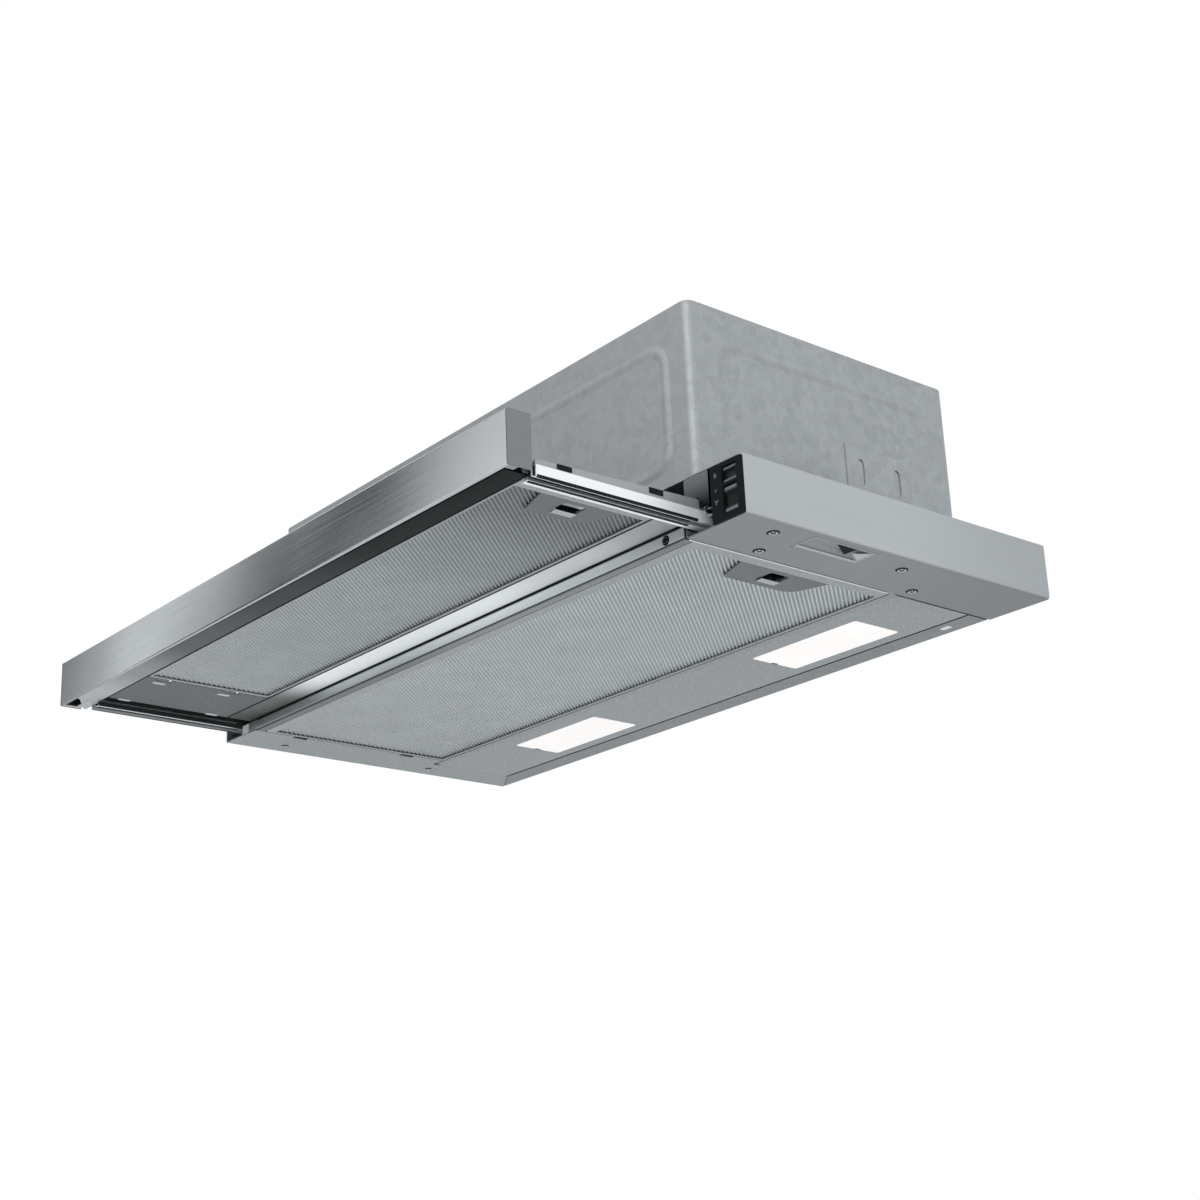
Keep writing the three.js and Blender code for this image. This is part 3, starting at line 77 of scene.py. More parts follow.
def steel(level: float) -> tuple:
    """The cool grey of bare steel; a darker one is a little cooler.

    Args:
        level: its brightness from 0 to 1.

    Returns:
        The level times a red and a blue share, which part by the square of what it lacks to 1.
    """
    red, blue, cooling = 0.95, 1.035, 0.035
    cool = cooling * (1 - level) ** 2
    return (red - cool) * level, level, min((blue + cool) * level, 1.0)


def shade(colour: tuple, factor: float) -> tuple:
    """A colour made lighter or darker by a factor."""
    return tuple(min(part * factor, 1.0) for part in colour)


def around(middle: float, reach: float) -> tuple:
    """The range that reaches equally far to both sides of a middle."""
    return middle - reach, middle + reach


class Graph:
    """The nodes of one material, with short calls for those used here."""

    def __init__(self, name: str) -> None:
        """Makes a material that holds only its shader and its output.

        Args:
            name: the material's name.
        """
        self.material = bpy.data.materials.new(name)
        self.material.use_nodes = True
        self.tree = self.material.node_tree
        self.shader = self.tree.nodes["Principled BSDF"]
        self.place = self.add("ShaderNodeTexCoord").outputs["Object"]

    def add(self, kind: str, inputs: dict | None = None, **settings: object) -> bpy.types.Node:
        """Adds a node.

        Args:
            kind: the node's type.
            inputs: values or sockets for its inputs, by name or number.
            settings: the node's own properties.

        Returns:
            The node.
        """
        node = self.tree.nodes.new(kind)
        for key, value in settings.items():
            setattr(node, key, value)
        for key, value in (inputs or {}).items():
            self.feed(node.inputs[key], value)
        return node

    def feed(self, socket: Socket, value: object) -> None:
        """Links a socket to another one, or sets its value.

        Args:
            socket: the input.
            value: a socket, a number, a vector, or a colour as three numbers.
        """
        if isinstance(value, Socket):
            self.tree.links.new(value, socket)
        else:
            socket.default_value = (*value, 1.0) if socket.type == "RGBA" else value

    def scaled(self, scale: tuple, turn: float = 0.0) -> Socket:
        """Object coordinates turned about z, then scaled.

        Args:
            scale: factors along the turned axes, per metre.
            turn: angle of the turned x axis from x.

        Returns:
            The vector's socket.
        """
        place = self.place
        if turn:
            spin = {"Vector": place, "Angle": -turn}
            place = self.add("ShaderNodeVectorRotate", spin, rotation_type="Z_AXIS").outputs["Vector"]
        return self.add("ShaderNodeMapping", {"Vector": place, "Scale": scale}).outputs["Vector"]

    def noise(self, scale: float | tuple, detail: float = 2.0) -> Socket:
        """Noise from 0 to 1.

        Args:
            scale: its scale per metre, on all axes or on each.
            detail: how many finer layers it has.

        Returns:
            The value's socket.
        """
        place = self.scaled((scale,) * 3 if isinstance(scale, float) else scale)
        inputs = {"Vector": place, "Scale": 1.0, "Detail": detail}
        return self.add("ShaderNodeTexNoise", inputs).outputs["Fac"]

    def cells(self, size: float) -> Socket:
        """Crystal-like cells of a size in metres, as one value from 0 to 1 in each."""
        cells = self.add("ShaderNodeTexVoronoi", {"Vector": self.place, "Scale": 1.0 / size})
        return self.add("ShaderNodeSeparateColor", {"Color": cells.outputs["Color"]}).outputs["Red"]

    def parts(self, vector: Socket) -> bpy.types.bpy_prop_collection:
        """The X, Y and Z sockets of a vector."""
        return self.add("ShaderNodeSeparateXYZ", {"Vector": vector}).outputs

    def along(self, axis: str, stops: tuple) -> Socket:
        """A value that runs smoothly between stops along one axis.

        Args:
            axis: X, Y or Z.
            stops: pairs of a place in metres and a value from 0 to 1, in rising order of place.

        Returns:
            The value's socket.
        """
        start, end = stops[0][0], stops[-1][0]
        share = self.span(self.parts(self.place)[axis], (start, end))
        ramp = self.add("ShaderNodeValToRGB", {"Fac": share})
        band = ramp.color_ramp
        band.interpolation = "EASE"
        for _ in range(len(stops) - 2):
            band.elements.new(0.5)
        for element, (place, value) in zip(band.elements, stops):
            element.position = (place - start) / (end - start)
            element.color = (value, value, value, 1.0)
        return ramp.outputs["Color"]

    def maths(self, kind: str, first: object, second: object = 0.0) -> Socket:
        """One step of arithmetic, such as ADD, on one or two values or sockets."""
        return self.add("ShaderNodeMath", {0: first, 1: second}, operation=kind).outputs[0]

    def span(self, value: Socket, source: tuple, target: tuple = WHOLE) -> Socket:
        """Maps a value from the range that it has to another, held at both ends."""
        limits = {"From Min": source[0], "From Max": source[1], "To Min": target[0], "To Max": target[1]}
        return self.add("ShaderNodeMapRange", {"Value": value, **limits}).outputs["Result"]

    def blend(self, share: Socket, low: object, high: object) -> Socket:
        """Mixes two colours.

        Args:
            share: the second colour's share.
            low: the first colour, as three numbers or a socket.
            high: the second colour.

        Returns:
            The colour's socket.
        """
        node = self.add("ShaderNodeMix", {"Factor": share}, data_type="RGBA")
        for name, value in (("A", low), ("B", high)):
            self.feed(next(s for s in node.inputs if s.name == name and s.type == "RGBA"), value)
        return next(s for s in node.outputs if s.type == "RGBA")

    def vary(self, share: Socket, colour: tuple, amount: float) -> Socket:
        """A colour that runs from darker to lighter by an amount with a share."""
        return self.blend(share, shade(colour, 1 - amount), shade(colour, 1 + amount))

    def with_painted_tones(self, colour: Socket, painted_tones: tuple) -> Socket:
        """A colour darkened along the object's axes, as painted shade and darker painted reflections.

        Args:
            colour: the colour's socket.
            painted_tones: its tones of painted shade.

        Returns:
            The darker colour's socket.
        """
        for axis, *stops in painted_tones:
            colour = self.blend(self.along(axis, stops), BLACK, colour)
        return colour

    def mark(self) -> Socket:
        """The value that a piece carries at each vertex, from 0 to 1, by which finishes paint shade and
        highlights.
        """
        return self.add("ShaderNodeAttribute", attribute_name="mark").outputs["Fac"]

    def relief(self, height: Socket, depth: float) -> None:
        """Gives the shader a bumped normal with a depth in metres."""
        bump = self.add("ShaderNodeBump", {"Height": height, "Distance": depth})
        self.feed(self.shader.inputs["Normal"], bump.outputs["Normal"])

    def surface(self, colour: object, roughness: object, metallic: float, edge: float = 1.0) -> None:
        """Sets the shader's main inputs.

        Args:
            colour: three numbers or a socket.
            roughness: a number or a socket.
            metallic: its metalness from 0 to 1.
            edge: a metal's level at a grazing angle.
        """
        inputs = {"Base Color": colour, "Roughness": roughness, "Metallic": metallic}
        if metallic:
            inputs["Specular Tint"] = shade(EDGE_TINT, edge)
        for name, value in inputs.items():
            self.feed(self.shader.inputs[name], value)


@dataclass(frozen=True)
class Finish:
    """A finish by its name. Each kind below sets up its own shader."""

    name: str

    def material(self) -> bpy.types.Material:
        """Builds the finish.

        Returns:
            The material.
        """
        graph = Graph(self.name)
        self.wire(graph)
        return graph.material

    def wire(self, graph: Graph) -> None:
        """Sets up the shader in a material's nodes."""
        raise NotImplementedError


@dataclass(frozen=True)
class Brushed(Finish):
    """Stainless steel brushed in one direction, with streaks that stretch its highlights."""

    colour: tuple
    grain: Grain
    roughness: float
    contrast: float
    stretch: float
    depth: float = 0.012 * MM
    metallic: float = 1.0
    painted_tones: tuple = ()
    edge: float = 1.0
    clouds: float = 9.0  # scale of the faint clouds, per metre
    streak_gloss: float = 0.05  # how far the streaks and the clouds move the roughness
    cloud_gloss: float = 0.025

    def wire(self, graph: Graph) -> None:
        """Sets up the shader.

        Args:
            graph: the material's nodes.
        """
        streaks = graph.noise(self.grain.value, 4.0)
        clouds = graph.noise(self.clouds)
        colour = graph.vary(graph.span(streaks, MOST), self.colour, self.contrast)
        rough = graph.maths(
            "ADD",
            graph.span(streaks, (0.25, 0.75), around(self.roughness, self.streak_gloss)),
            graph.span(clouds, MOST, around(0.0, self.cloud_gloss)),
        )
        graph.surface(graph.with_painted_tones(colour, self.painted_tones), rough, self.metallic, self.edge)
        graph.shader.inputs["Anisotropic"].default_value = self.stretch
        way = "Y" if self.grain is Grain.ALONG_X else "X"
        across = graph.add("ShaderNodeCombineXYZ", {"Z": 1.0, way: 1.0})
        graph.feed(graph.shader.inputs["Tangent"], across.outputs["Vector"])
        graph.relief(streaks, self.depth)


@dataclass(frozen=True)
class SheetMetal(Finish):
    """Rolled or coated sheet: fine grain, faint clouds and, where zinc coated, crystals."""

    colour: tuple
    roughness: float = 0.4
    metallic: float = 1.0
    spangle: float = 0.0  # size of the crystals
    contrast: float = 0.12
    grain: float = 650.0
    painted_light: float = 1.0  # share of the colour left where a piece's mark is 1, as painted shade in screw heads
    edge: float = 1.0
    painted_tones: tuple = ()
    clouds: float = 6.0
    fine_share: float = 0.75  # of the contrast; the clouds have the rest
    gloss: float = 0.06
    depth: float = 0.01 * MM

    def wire(self, graph: Graph) -> None:
        """Sets up the shader.

        Args:
            graph: the material's nodes.
        """
        fine, clouds = graph.noise(self.grain, 3.0), graph.noise(self.clouds, 3.0)
        share = graph.maths(
            "ADD",
            graph.span(fine, (0.38, 0.62), (0.0, self.fine_share)),
            graph.span(clouds, MOST, (0.0, 1 - self.fine_share)),
        )
        if self.spangle:
            share = graph.maths("MULTIPLY", graph.maths("ADD", share, graph.cells(self.spangle)), 0.5)
        colour = graph.vary(share, self.colour, self.contrast)
        # Painted shade: where a piece's mark is 1, the colour moves to this share of itself.
        if self.painted_light < 1.0:
            colour = graph.blend(graph.mark(), colour, shade(self.colour, self.painted_light))
        rough = graph.span(share, WHOLE, around(self.roughness, -self.gloss))
        graph.surface(graph.with_painted_tones(colour, self.painted_tones), rough, self.metallic, self.edge)
        graph.relief(fine, self.depth)


@dataclass(frozen=True)
class Moulded(Finish):
    """Moulded plastic with a fine spark-eroded grain."""

    colour: tuple
    roughness: float = 0.45
    grain: float = 1800.0
    depth: float = 0.02 * MM
    metallic: float = 0.0
    specular: float = 0.5
    painted_light: tuple = ()  # painted highlight colour where a piece's mark is 1
    clouds: float = 14.0
    contrast: float = 0.08
    gloss: float = 0.06

    def wire(self, graph: Graph) -> None:
        """Sets up the shader.

        Args:
            graph: the material's nodes.
        """
        fine, clouds = graph.noise(self.grain), graph.noise(self.clouds)
        colour = graph.vary(graph.span(clouds, MOST), self.colour, self.contrast)
        # Painted highlight: where a piece's mark is 1, the colour moves to the marked colour.
        if self.painted_light:
            colour = graph.blend(graph.mark(), colour, self.painted_light)
        rough = graph.span(fine, MOST, around(self.roughness, self.gloss))
        graph.surface(colour, rough, self.metallic)
        graph.shader.inputs["Specular IOR Level"].default_value = self.specular
        graph.relief(fine, self.depth)


@dataclass(frozen=True)
class Knitted(Finish):
    """Expanded aluminium foil: rows of small diamond holes between bright strands."""

    colour: tuple
    hole: tuple
    painted_tones: tuple
    lean: float = FOLD_LEAN
    pitch: tuple = (1.2 * MM, 1.9 * MM)
    opening: tuple = (0.3, 0.55)  # heights of the weave between which a strand ends
    valley_shade: float = 0.75  # share of the holes' colour, as painted shade, in the bottoms of the folds
    fold_shade_by_x: tuple = ((-0.25, 0.35), (0.0, 0.6), (0.25, 0.95))  # place along x, share of the folds' painted shade
    roughness: float = 0.38
    metallic: float = 0.9
    clouds: float = 40.0
    contrast: float = 0.07
    depth: float = 0.1 * MM

    def wire(self, graph: Graph) -> None:
        """Sets up the shader. The strands are where the product of two slanted waves is small.

        Args:
            graph: the material's nodes.
        """
        turned = graph.parts(graph.scaled((1 / self.pitch[0], 1 / self.pitch[1], 0.0), self.lean))
        slants = [graph.maths(kind, turned["X"], turned["Y"]) for kind in ("ADD", "SUBTRACT")]
        waves = [graph.maths("SINE", graph.maths("MULTIPLY", slant, math.pi)) for slant in slants]
        weave = graph.maths("ABSOLUTE", graph.maths("MULTIPLY", *waves))
        hole = graph.span(weave, self.opening)
        clouds = graph.span(graph.noise(self.clouds, 3.0), MOST)
        foil = graph.blend(hole, graph.vary(clouds, self.colour, self.contrast), self.hole)
        # Painted shade: where the mark is 1, in the bottoms of the folds, the colour darkens, more so towards
        # the right.
        deep = graph.maths("MULTIPLY", graph.mark(), graph.along("X", self.fold_shade_by_x))
        colour = graph.blend(deep, foil, shade(self.hole, self.valley_shade))
        graph.surface(graph.with_painted_tones(colour, self.painted_tones), self.roughness, self.metallic)
        graph.relief(graph.maths("SUBTRACT", 1.0, hole), self.depth)


@dataclass(frozen=True)
class Lit(Finish):
    """Frosted lamp cover with light behind it."""

    colour: tuple
    strength: float
    roughness: float = 0.35
    clouds: float = 22.0
    dim: float = 0.97  # share of the colour in the clouds
    grain: float = 900.0
    depth: float = 0.03 * MM

    def wire(self, graph: Graph) -> None:
        """Sets up the shader.

        Args:
            graph: the material's nodes.
        """
        clouds = graph.span(graph.noise(self.clouds, 1.0), MOST)
        colour = graph.blend(clouds, shade(self.colour, self.dim), self.colour)
        graph.surface(colour, self.roughness, 0.0)
        graph.feed(graph.shader.inputs["Emission Color"], colour)
        graph.shader.inputs["Emission Strength"].default_value = self.strength
        graph.relief(graph.noise(self.grain, 1.0), self.depth)


@dataclass(frozen=True)
class Wound(Finish):
    """Motor body: lacquered windings at both ends and a stack of thin iron plates between."""

    copper: tuple
    iron: tuple
    stack: tuple  # where the plates start and end along x
    edge: float = 0.4 * MM
    stripes: float = 4200.0
    wires: tuple = (300.0, 1500.0, 1500.0)
    roughness: float = 0.42
    metallic: float = 0.7
    depth: float = 0.15 * MM

    def wire(self, graph: Graph) -> None:
        """Sets up the shader. The plates and the wires are stripes across the motor's x axis.

        Args:
            graph: the material's nodes.
        """
        x = graph.parts(graph.place)["X"]
        first, last = (around(place, self.edge) for place in self.stack)
        inside = graph.maths("MULTIPLY", graph.span(x, first), graph.span(x, last, (1.0, 0.0)))
        stripes = graph.maths("ABSOLUTE", graph.maths("SINE", graph.maths("MULTIPLY", x, self.stripes)))
        iron = graph.blend(stripes, shade(self.iron, 0.5), self.iron)
        strands = graph.noise(self.wires)
        share = graph.span(strands, (0.35, 0.65))
        copper = graph.blend(share, shade(self.copper, 0.55), shade(self.copper, 1.1))
        graph.surface(graph.blend(inside, copper, iron), self.roughness, self.metallic)
        graph.relief(graph.maths("ADD", stripes, strands), self.depth)


@dataclass(frozen=True)
class Painted(Finish):
    """Plain grey surface of the stage, faintly clouded."""

    levels: tuple
    roughness: float
    clouds: float

    def wire(self, graph: Graph) -> None:
        """Sets up the shader.

        Args:
            graph: the material's nodes.
        """
        colour = graph.blend(graph.noise(self.clouds), *((level,) * 3 for level in self.levels))
        graph.surface(colour, self.roughness, 0.0)


# Its tone paints a darker reflection on the bar's left end.
FRONT_STEEL = Brushed(
    "front_steel", steel(0.59), Grain.ALONG_X, 0.19, 0.03, 0.8,
    painted_tones=(("X", (-0.2976, 0.6), (-0.245, 0.7), (-0.185, 1.0)),),
)
# Its tones paint shade: the underside darker than the side, and the cover darker towards the rear.
COVER_STEEL = Brushed(
    "cover_steel", steel(0.485), Grain.ALONG_Y, 0.36, 0.05, 0.35, edge=0.9,
    painted_tones=(("Z", (-0.0379, 0.68), (-0.0372, 1.0)), ("Y", (-0.16, 1.0), (0.0, 0.84))),
)
# Its tone paints shade and a dark reflection: the profile runs to near black towards its right end.
PROFILE_METAL = Brushed(
    "profile_metal", steel(0.66), Grain.ALONG_X, 0.3, 0.03, 0.3, edge=0.75,
    painted_tones=(("X", (-0.25, 1.0), (-0.19, 0.62), (-0.118, 0.22), (0.01, 0.08), (0.12, 0.0)),),
)
# Its tone paints reflection and shade: near black at the left end, full in the middle, darker towards the
# right end.
CROSSBAR_METAL = Brushed(
    "crossbar_metal", steel(0.98), Grain.ALONG_X, 0.4, 0.02, 0.2, metallic=0.2,
    painted_tones=(("X", (-0.26, 0.03), (-0.2, 0.1), (-0.13, 1.0), (0.06, 0.93), (0.16, 0.62), (0.24, 0.34)),),
)
# Its tone paints shade: the rail is darker above the bright band along its lower edge.
RAIL_METAL = Brushed(
    "rail_metal", steel(0.94), Grain.ALONG_Y, 0.42, 0.02, 0.2, metallic=0.45,
    painted_tones=(("Z", (-0.0245, 1.0), (-0.0235, 0.4)),),
)
# Its tone paints shade: the rail's inner wall is near black.
LEFT_RAIL_METAL = Brushed(
    "left_rail_metal", steel(0.82), Grain.ALONG_Y, 0.36, 0.02, 0.2, metallic=0.7,
    painted_tones=(("X", (-0.2768, 1.0), (-0.276, 0.06)),),
)
# Its tone paints shade: the guard plate runs darker towards the bottom.
GUARD_METAL = Brushed(
    "guard_metal", steel(0.19), Grain.ALONG_X, 0.25, 0.05, 0.3, edge=0.7,
    painted_tones=(("Z", (-0.0235, 0.08), (-0.001, 0.95)),),
)
CAP_METAL = Brushed("cap_metal", steel(0.235), Grain.ALONG_Y, 0.35, 0.04, 0.3)
# Its tones paint light and shade: the lip's brightness varies along x, its underside is darker, and a painted
# shadow line runs along the foot of its front face.
LIP_SHEET = SheetMetal(
    "lip_sheet", steel(0.95), contrast=0.05,
    painted_tones=(
        ("X", (-0.27, 0.6), (-0.07, 0.64), (0.05, 0.95), (0.15, 0.9), (0.246, 0.72)),
        ("Z", (-0.03799, 0.36), (-0.0379, 0.1), (-0.0373, 0.1), (-0.0369, 1.0)),
    ),
)
CANOPY_SHEET = SheetMetal("canopy_sheet", steel(0.38), 0.42)
LAMP_SHEET = SheetMetal("lamp_sheet", steel(0.385))
REAR_SHEET = SheetMetal("rear_sheet", steel(0.29), 0.42)
# Its colour is darker than the other sheets' to paint the shade in the drawer's recess.
DRAWER_SHADED_SHEET = SheetMetal("drawer_shaded_sheet", (0.166, 0.179, 0.189), 0.45, edge=0.9)
ZINC_SHEET = SheetMetal("zinc_sheet", steel(0.39), 0.5, 0.85, 6.5 * MM, 0.08)
FRAME_METAL = SheetMetal("frame_metal", steel(0.42), 0.42, 0.95)
TAB_METAL = SheetMetal("tab_metal", steel(0.62), 0.35)
CATCH_METAL = SheetMetal("catch_metal", steel(0.5), 0.16, contrast=0.05, grain=POLISH)
CHROME = SheetMetal("chrome", steel(0.88), 0.16, contrast=0.03, grain=POLISH)
# A head's cross recess and rim, where its mark is 1, are painted dark as shade.
SCREW_METAL = SheetMetal("screw_metal", steel(0.8), 0.12, contrast=0.03, grain=POLISH, painted_light=0.0)
DARK_SCREW = SheetMetal("dark_screw", steel(0.11), 0.3, contrast=0.03, grain=POLISH, painted_light=0.1)
LATCH_PLASTIC = Moulded("latch_plastic", (0.135, 0.145, 0.154), 0.42, metallic=0.35)
PANEL_PLASTIC = Moulded("panel_plastic", (0.007, 0.008, 0.0095), 0.5, specular=0.06)
BLACK_PLASTIC = Moulded("black_plastic", (0.012, 0.013, 0.015), 0.5, specular=0.22)
# Its marked colour is a painted highlight along the rockers' ridges.
ROCKER_PLASTIC = Moulded(
    "rocker_plastic", (0.005, 0.006, 0.007), 0.25, 3000.0, 0.006 * MM,
    specular=0.14, painted_light=(0.16, 0.172, 0.185),
)
SHADOW_GAP = Moulded("shadow_gap", (0.012, 0.012, 0.013), 0.7, specular=0.1)
GREY_PLASTIC = Moulded("grey_plastic", (0.1, 0.105, 0.11), 0.5)
PALE_PLASTIC = Moulded("pale_plastic", (0.46, 0.475, 0.49))
TRAY_PLASTIC = Moulded("tray_plastic", (0.3, 0.325, 0.345))
ICON_INK = Moulded("icon_ink", (0.075, 0.08, 0.086), 0.5)
LAMP_COVER = Lit("lamp_cover", (0.9, 0.884, 0.874), 0.26)
MOTOR_BODY = Wound("motor_body", (0.35, 0.14, 0.06), (0.2, 0.21, 0.22), (0.0728, 0.0966))
# Their tones paint shade along x: the main pack darker towards the left, the drawer's pack darker towards the
# right.
MAIN_MESH = Knitted(
    "main_mesh", (0.87, 0.93, 0.975), steel(0.42), (("X", (-0.25, 0.76), (0.0, 0.9), (0.2, 1.0)),)
)
DRAWER_MESH = Knitted(
    "drawer_mesh", (0.85, 0.91, 0.955), steel(0.36),
    (("X", (-0.2, 0.84), (0.05, 0.84), (0.14, 0.74), (0.22, 0.52)),),
)


def both(name: str) -> tuple:
    """A solid's names at the left and at the right."""
    return name + "_left", name + "_right"


NODE_FINISHES = {
    CANOPY_SHEET: ("canopy_shell",),
    REAR_SHEET: ("rear_filler_strip",),
    LIP_SHEET: ("filter_front_lip",),
    COVER_STEEL: ("right_cover",),
    TRAY_PLASTIC: ("window_tray",),
    LAMP_SHEET: ("lamp_plate",),
    LAMP_COVER: both("lamp_lens"),
    FRONT_STEEL: ("front_bar",),
    CAP_METAL: both("bar_end_cap"),
    PROFILE_METAL: ("drawer_front_profile",),
    DRAWER_SHADED_SHEET: ("drawer_frame",),
    CROSSBAR_METAL: ("drawer_rear_crossbar",),
    LEFT_RAIL_METAL: ("drawer_rail_left",),
    RAIL_METAL: ("drawer_rail_right",),
    FRAME_METAL: ("main_filter_frame", "drawer_filter_frame"),
    LATCH_PLASTIC: ("main_filter_latch_plate", "drawer_filter_latch_plate"),
    CATCH_METAL: ("main_filter_catch", "drawer_filter_catch"),
    GUARD_METAL: both("slot_guard"),
    PANEL_PLASTIC: ("control_panel", "fan_rocker", "light_rocker"),
    GREY_PLASTIC: ("switch_unit", "damper_flap_front", "damper_flap_rear", "impeller"),
    BLACK_PLASTIC: ("drawer_switch", "outlet_collar", "connection_box", "connection_box_lid", "cable_gland"),
    PALE_PLASTIC: (*both("lamp_housing"), "led_driver", "capacitor"),
    CHROME: (*both("slide_inner"), *both("ball_cage"), "damper_pin", "motor_shaft"),
    ZINC_SHEET: (
        "slide_bracket", *both("slide_outer"), *both("side_bracket"),
        "motor_housing", "blower_scroll", "motor_bracket",
    ),
    MOTOR_BODY: ("motor",),
}


# ---------------------------------------------------------------- making of pieces
def unmarked(places: np.ndarray) -> np.ndarray:
    """A mark of 0 at every place."""
    return np.zeros(len(places))


@dataclass
class Workshop:
    """Makes pieces and keeps one material for each finish."""

    sharp: float = math.radians(38)  # an edge that bends more than this stays sharp
    weld: float = 0.002 * MM
    flat: float = math.radians(0.5)  # faces within this angle count as one
    rounding: float = 0.22 * MM  # width of the rounded edges
    rounded_from: float = math.radians(32)

    def __post_init__(self) -> None:
        """Starts with no material and one edge-smoothing group for every piece."""
        self.materials: dict = {}
        self.smoothing = self.smoothing_group()

    def smoothing_group(self) -> bpy.types.NodeTree:
        """A modifier group that shades faces smooth and keeps the sharp edges.

        Returns:
            The node group.
        """
        group = bpy.data.node_groups.new("smooth_by_angle", "GeometryNodeTree")
        for way in ("INPUT", "OUTPUT"):
            group.interface.new_socket("Geometry", in_out=way, socket_type="NodeSocketGeometry")
        start, end, bend, below, faces, edges = (
            group.nodes.new(kind)
            for kind in (
                "NodeGroupInput", "NodeGroupOutput", "GeometryNodeInputMeshEdgeAngle",
                "FunctionNodeCompare", "GeometryNodeSetShadeSmooth", "GeometryNodeSetShadeSmooth",
            )
        )
        edges.domain = "EDGE"
        below.operation = "LESS_THAN"
        below.inputs["B"].default_value = self.sharp
        for source, target in (
            (start.outputs[0], faces.inputs["Geometry"]),
            (faces.outputs[0], edges.inputs["Geometry"]),
            (bend.outputs["Unsigned Angle"], below.inputs["A"]),
            (below.outputs[0], edges.inputs["Shade Smooth"]),
            (edges.outputs[0], end.inputs[0]),
        ):
            group.links.new(source, target)
        return group

    @staticmethod
    def modify(piece: bpy.types.Object, name: str, kind: str, **settings: object) -> None:
        """Adds a modifier.

        Args:
            piece: the piece.
            name: the modifier's name.
            kind: its type.
            settings: its properties.
        """
        modifier = piece.modifiers.new(name, kind)
        for key, value in settings.items():
            setattr(modifier, key, value)

    def smooth(self, piece: bpy.types.Object) -> None:
        """Shades a piece smooth between its sharp edges."""
        self.modify(piece, "smooth", "NODES", node_group=self.smoothing)

    def soften(self, piece: bpy.types.Object) -> None:
        """Welds a solid's loose triangles and rounds its edges.

        Args:
            piece: the solid.
        """
        self.modify(piece, "weld", "WELD", merge_threshold=self.weld)
        self.modify(piece, "flat", "DECIMATE", decimate_type="DISSOLVE", angle_limit=self.flat)
        self.modify(
            piece, "edge", "BEVEL", width=self.rounding, segments=2,
            limit_method="ANGLE", angle_limit=self.rounded_from,
        )
        self.smooth(piece)
        self.modify(piece, "weights", "WEIGHTED_NORMAL", keep_sharp=True)

    def dress(self, piece: bpy.types.Object, look: Finish) -> None:
        """Gives a piece one finish, whose material is built when it is first asked for.

        Args:
            piece: the piece.
            look: the finish.
        """
        if look not in self.materials:
            self.materials[look] = look.material()
        piece.data.materials.clear()
        piece.data.materials.append(self.materials[look])

    @staticmethod
    def mark(piece: bpy.types.Object, rule: Callable = unmarked) -> None:
        """Stores a value from 0 to 1 at each vertex, by which finishes paint shade and highlights.

        Args:
            piece: the piece.
            rule: works the values out from an array of places.
        """
        places = np.empty(len(piece.data.vertices) * 3, np.float32)
        piece.data.vertices.foreach_get("co", places)
        values = np.clip(rule(places.reshape(-1, 3).astype(float)), 0, 1).astype(np.float32)
        piece.data.attributes.new("mark", "FLOAT", "POINT").data.foreach_set("value", values)

    def make(
        self, name: str, shape: tuple, look: Finish, body: str, slot: str, merge: float = 1e-7
    ) -> bpy.types.Object:
        """Makes a piece that rides on a body.

        Args:
            name: the piece's name.
            shape: vertices as an array of rows, and faces as an array or a list.
            look: the finish.
            body: the body that carries it.
            slot: the record's material slot; not used.
            merge: distance below which vertices are joined.

        Returns:
            The new object.
        """
        vertices, faces = shape
        mesh = bpy.data.meshes.new(name)
        mesh.from_pydata(np.asarray(vertices, float).tolist(), [], [list(map(int, f)) for f in faces])
        built = bmesh.new()
        built.from_mesh(mesh)
        bmesh.ops.remove_doubles(built, verts=built.verts, dist=merge)
        bmesh.ops.dissolve_degenerate(built, edges=built.edges, dist=merge)
        bmesh.ops.recalc_face_normals(built, faces=built.faces)
        built.to_mesh(mesh)
        built.free()
        piece = bpy.data.objects.new(name, mesh)
        bpy.context.scene.collection.objects.link(piece)
        self.dress(piece, look)
        self.smooth(piece)
        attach(piece, body)
        log.info("%s: %d faces on %s", name, len(mesh.polygons), body)
        return piece


# ---------------------------------------------------------------- shapes worked out as arrays
def grid_faces(rows: int, columns: int, closed: bool = False) -> np.ndarray:
    """Quads of a grid whose vertices are stored row by row.

    Args:
        rows: number of rows.
        columns: number of columns.
        closed: joins the last column to the first.

    Returns:
        An array of four vertex numbers per face.
    """
    last = columns if closed else columns - 1
    row, column = np.meshgrid(np.arange(rows - 1), np.arange(last), indexing="ij")
    near, far, after = row * columns, (row + 1) * columns, (column + 1) % columns
    return np.stack([near + column, near + after, far + after, far + column], -1).reshape(-1, 4)


def basis(normal: tuple) -> np.ndarray:
    """Two directions across a normal.

    Args:
        normal: a direction. Where it is upright the first across is y, and else it is level.

    Returns:
        Rows: the two directions and the normal, all of length 1.
    """
    out = np.asarray(normal, float) / np.linalg.norm(normal)
    upright = 0.9
    guide = np.array([0.0, 0.0, 1.0]) if abs(out[2]) < upright else np.array([1.0, 0.0, 0.0])
    across = np.cross(guide, out)
    across /= np.linalg.norm(across)
    return np.stack([across, np.cross(out, across), out])


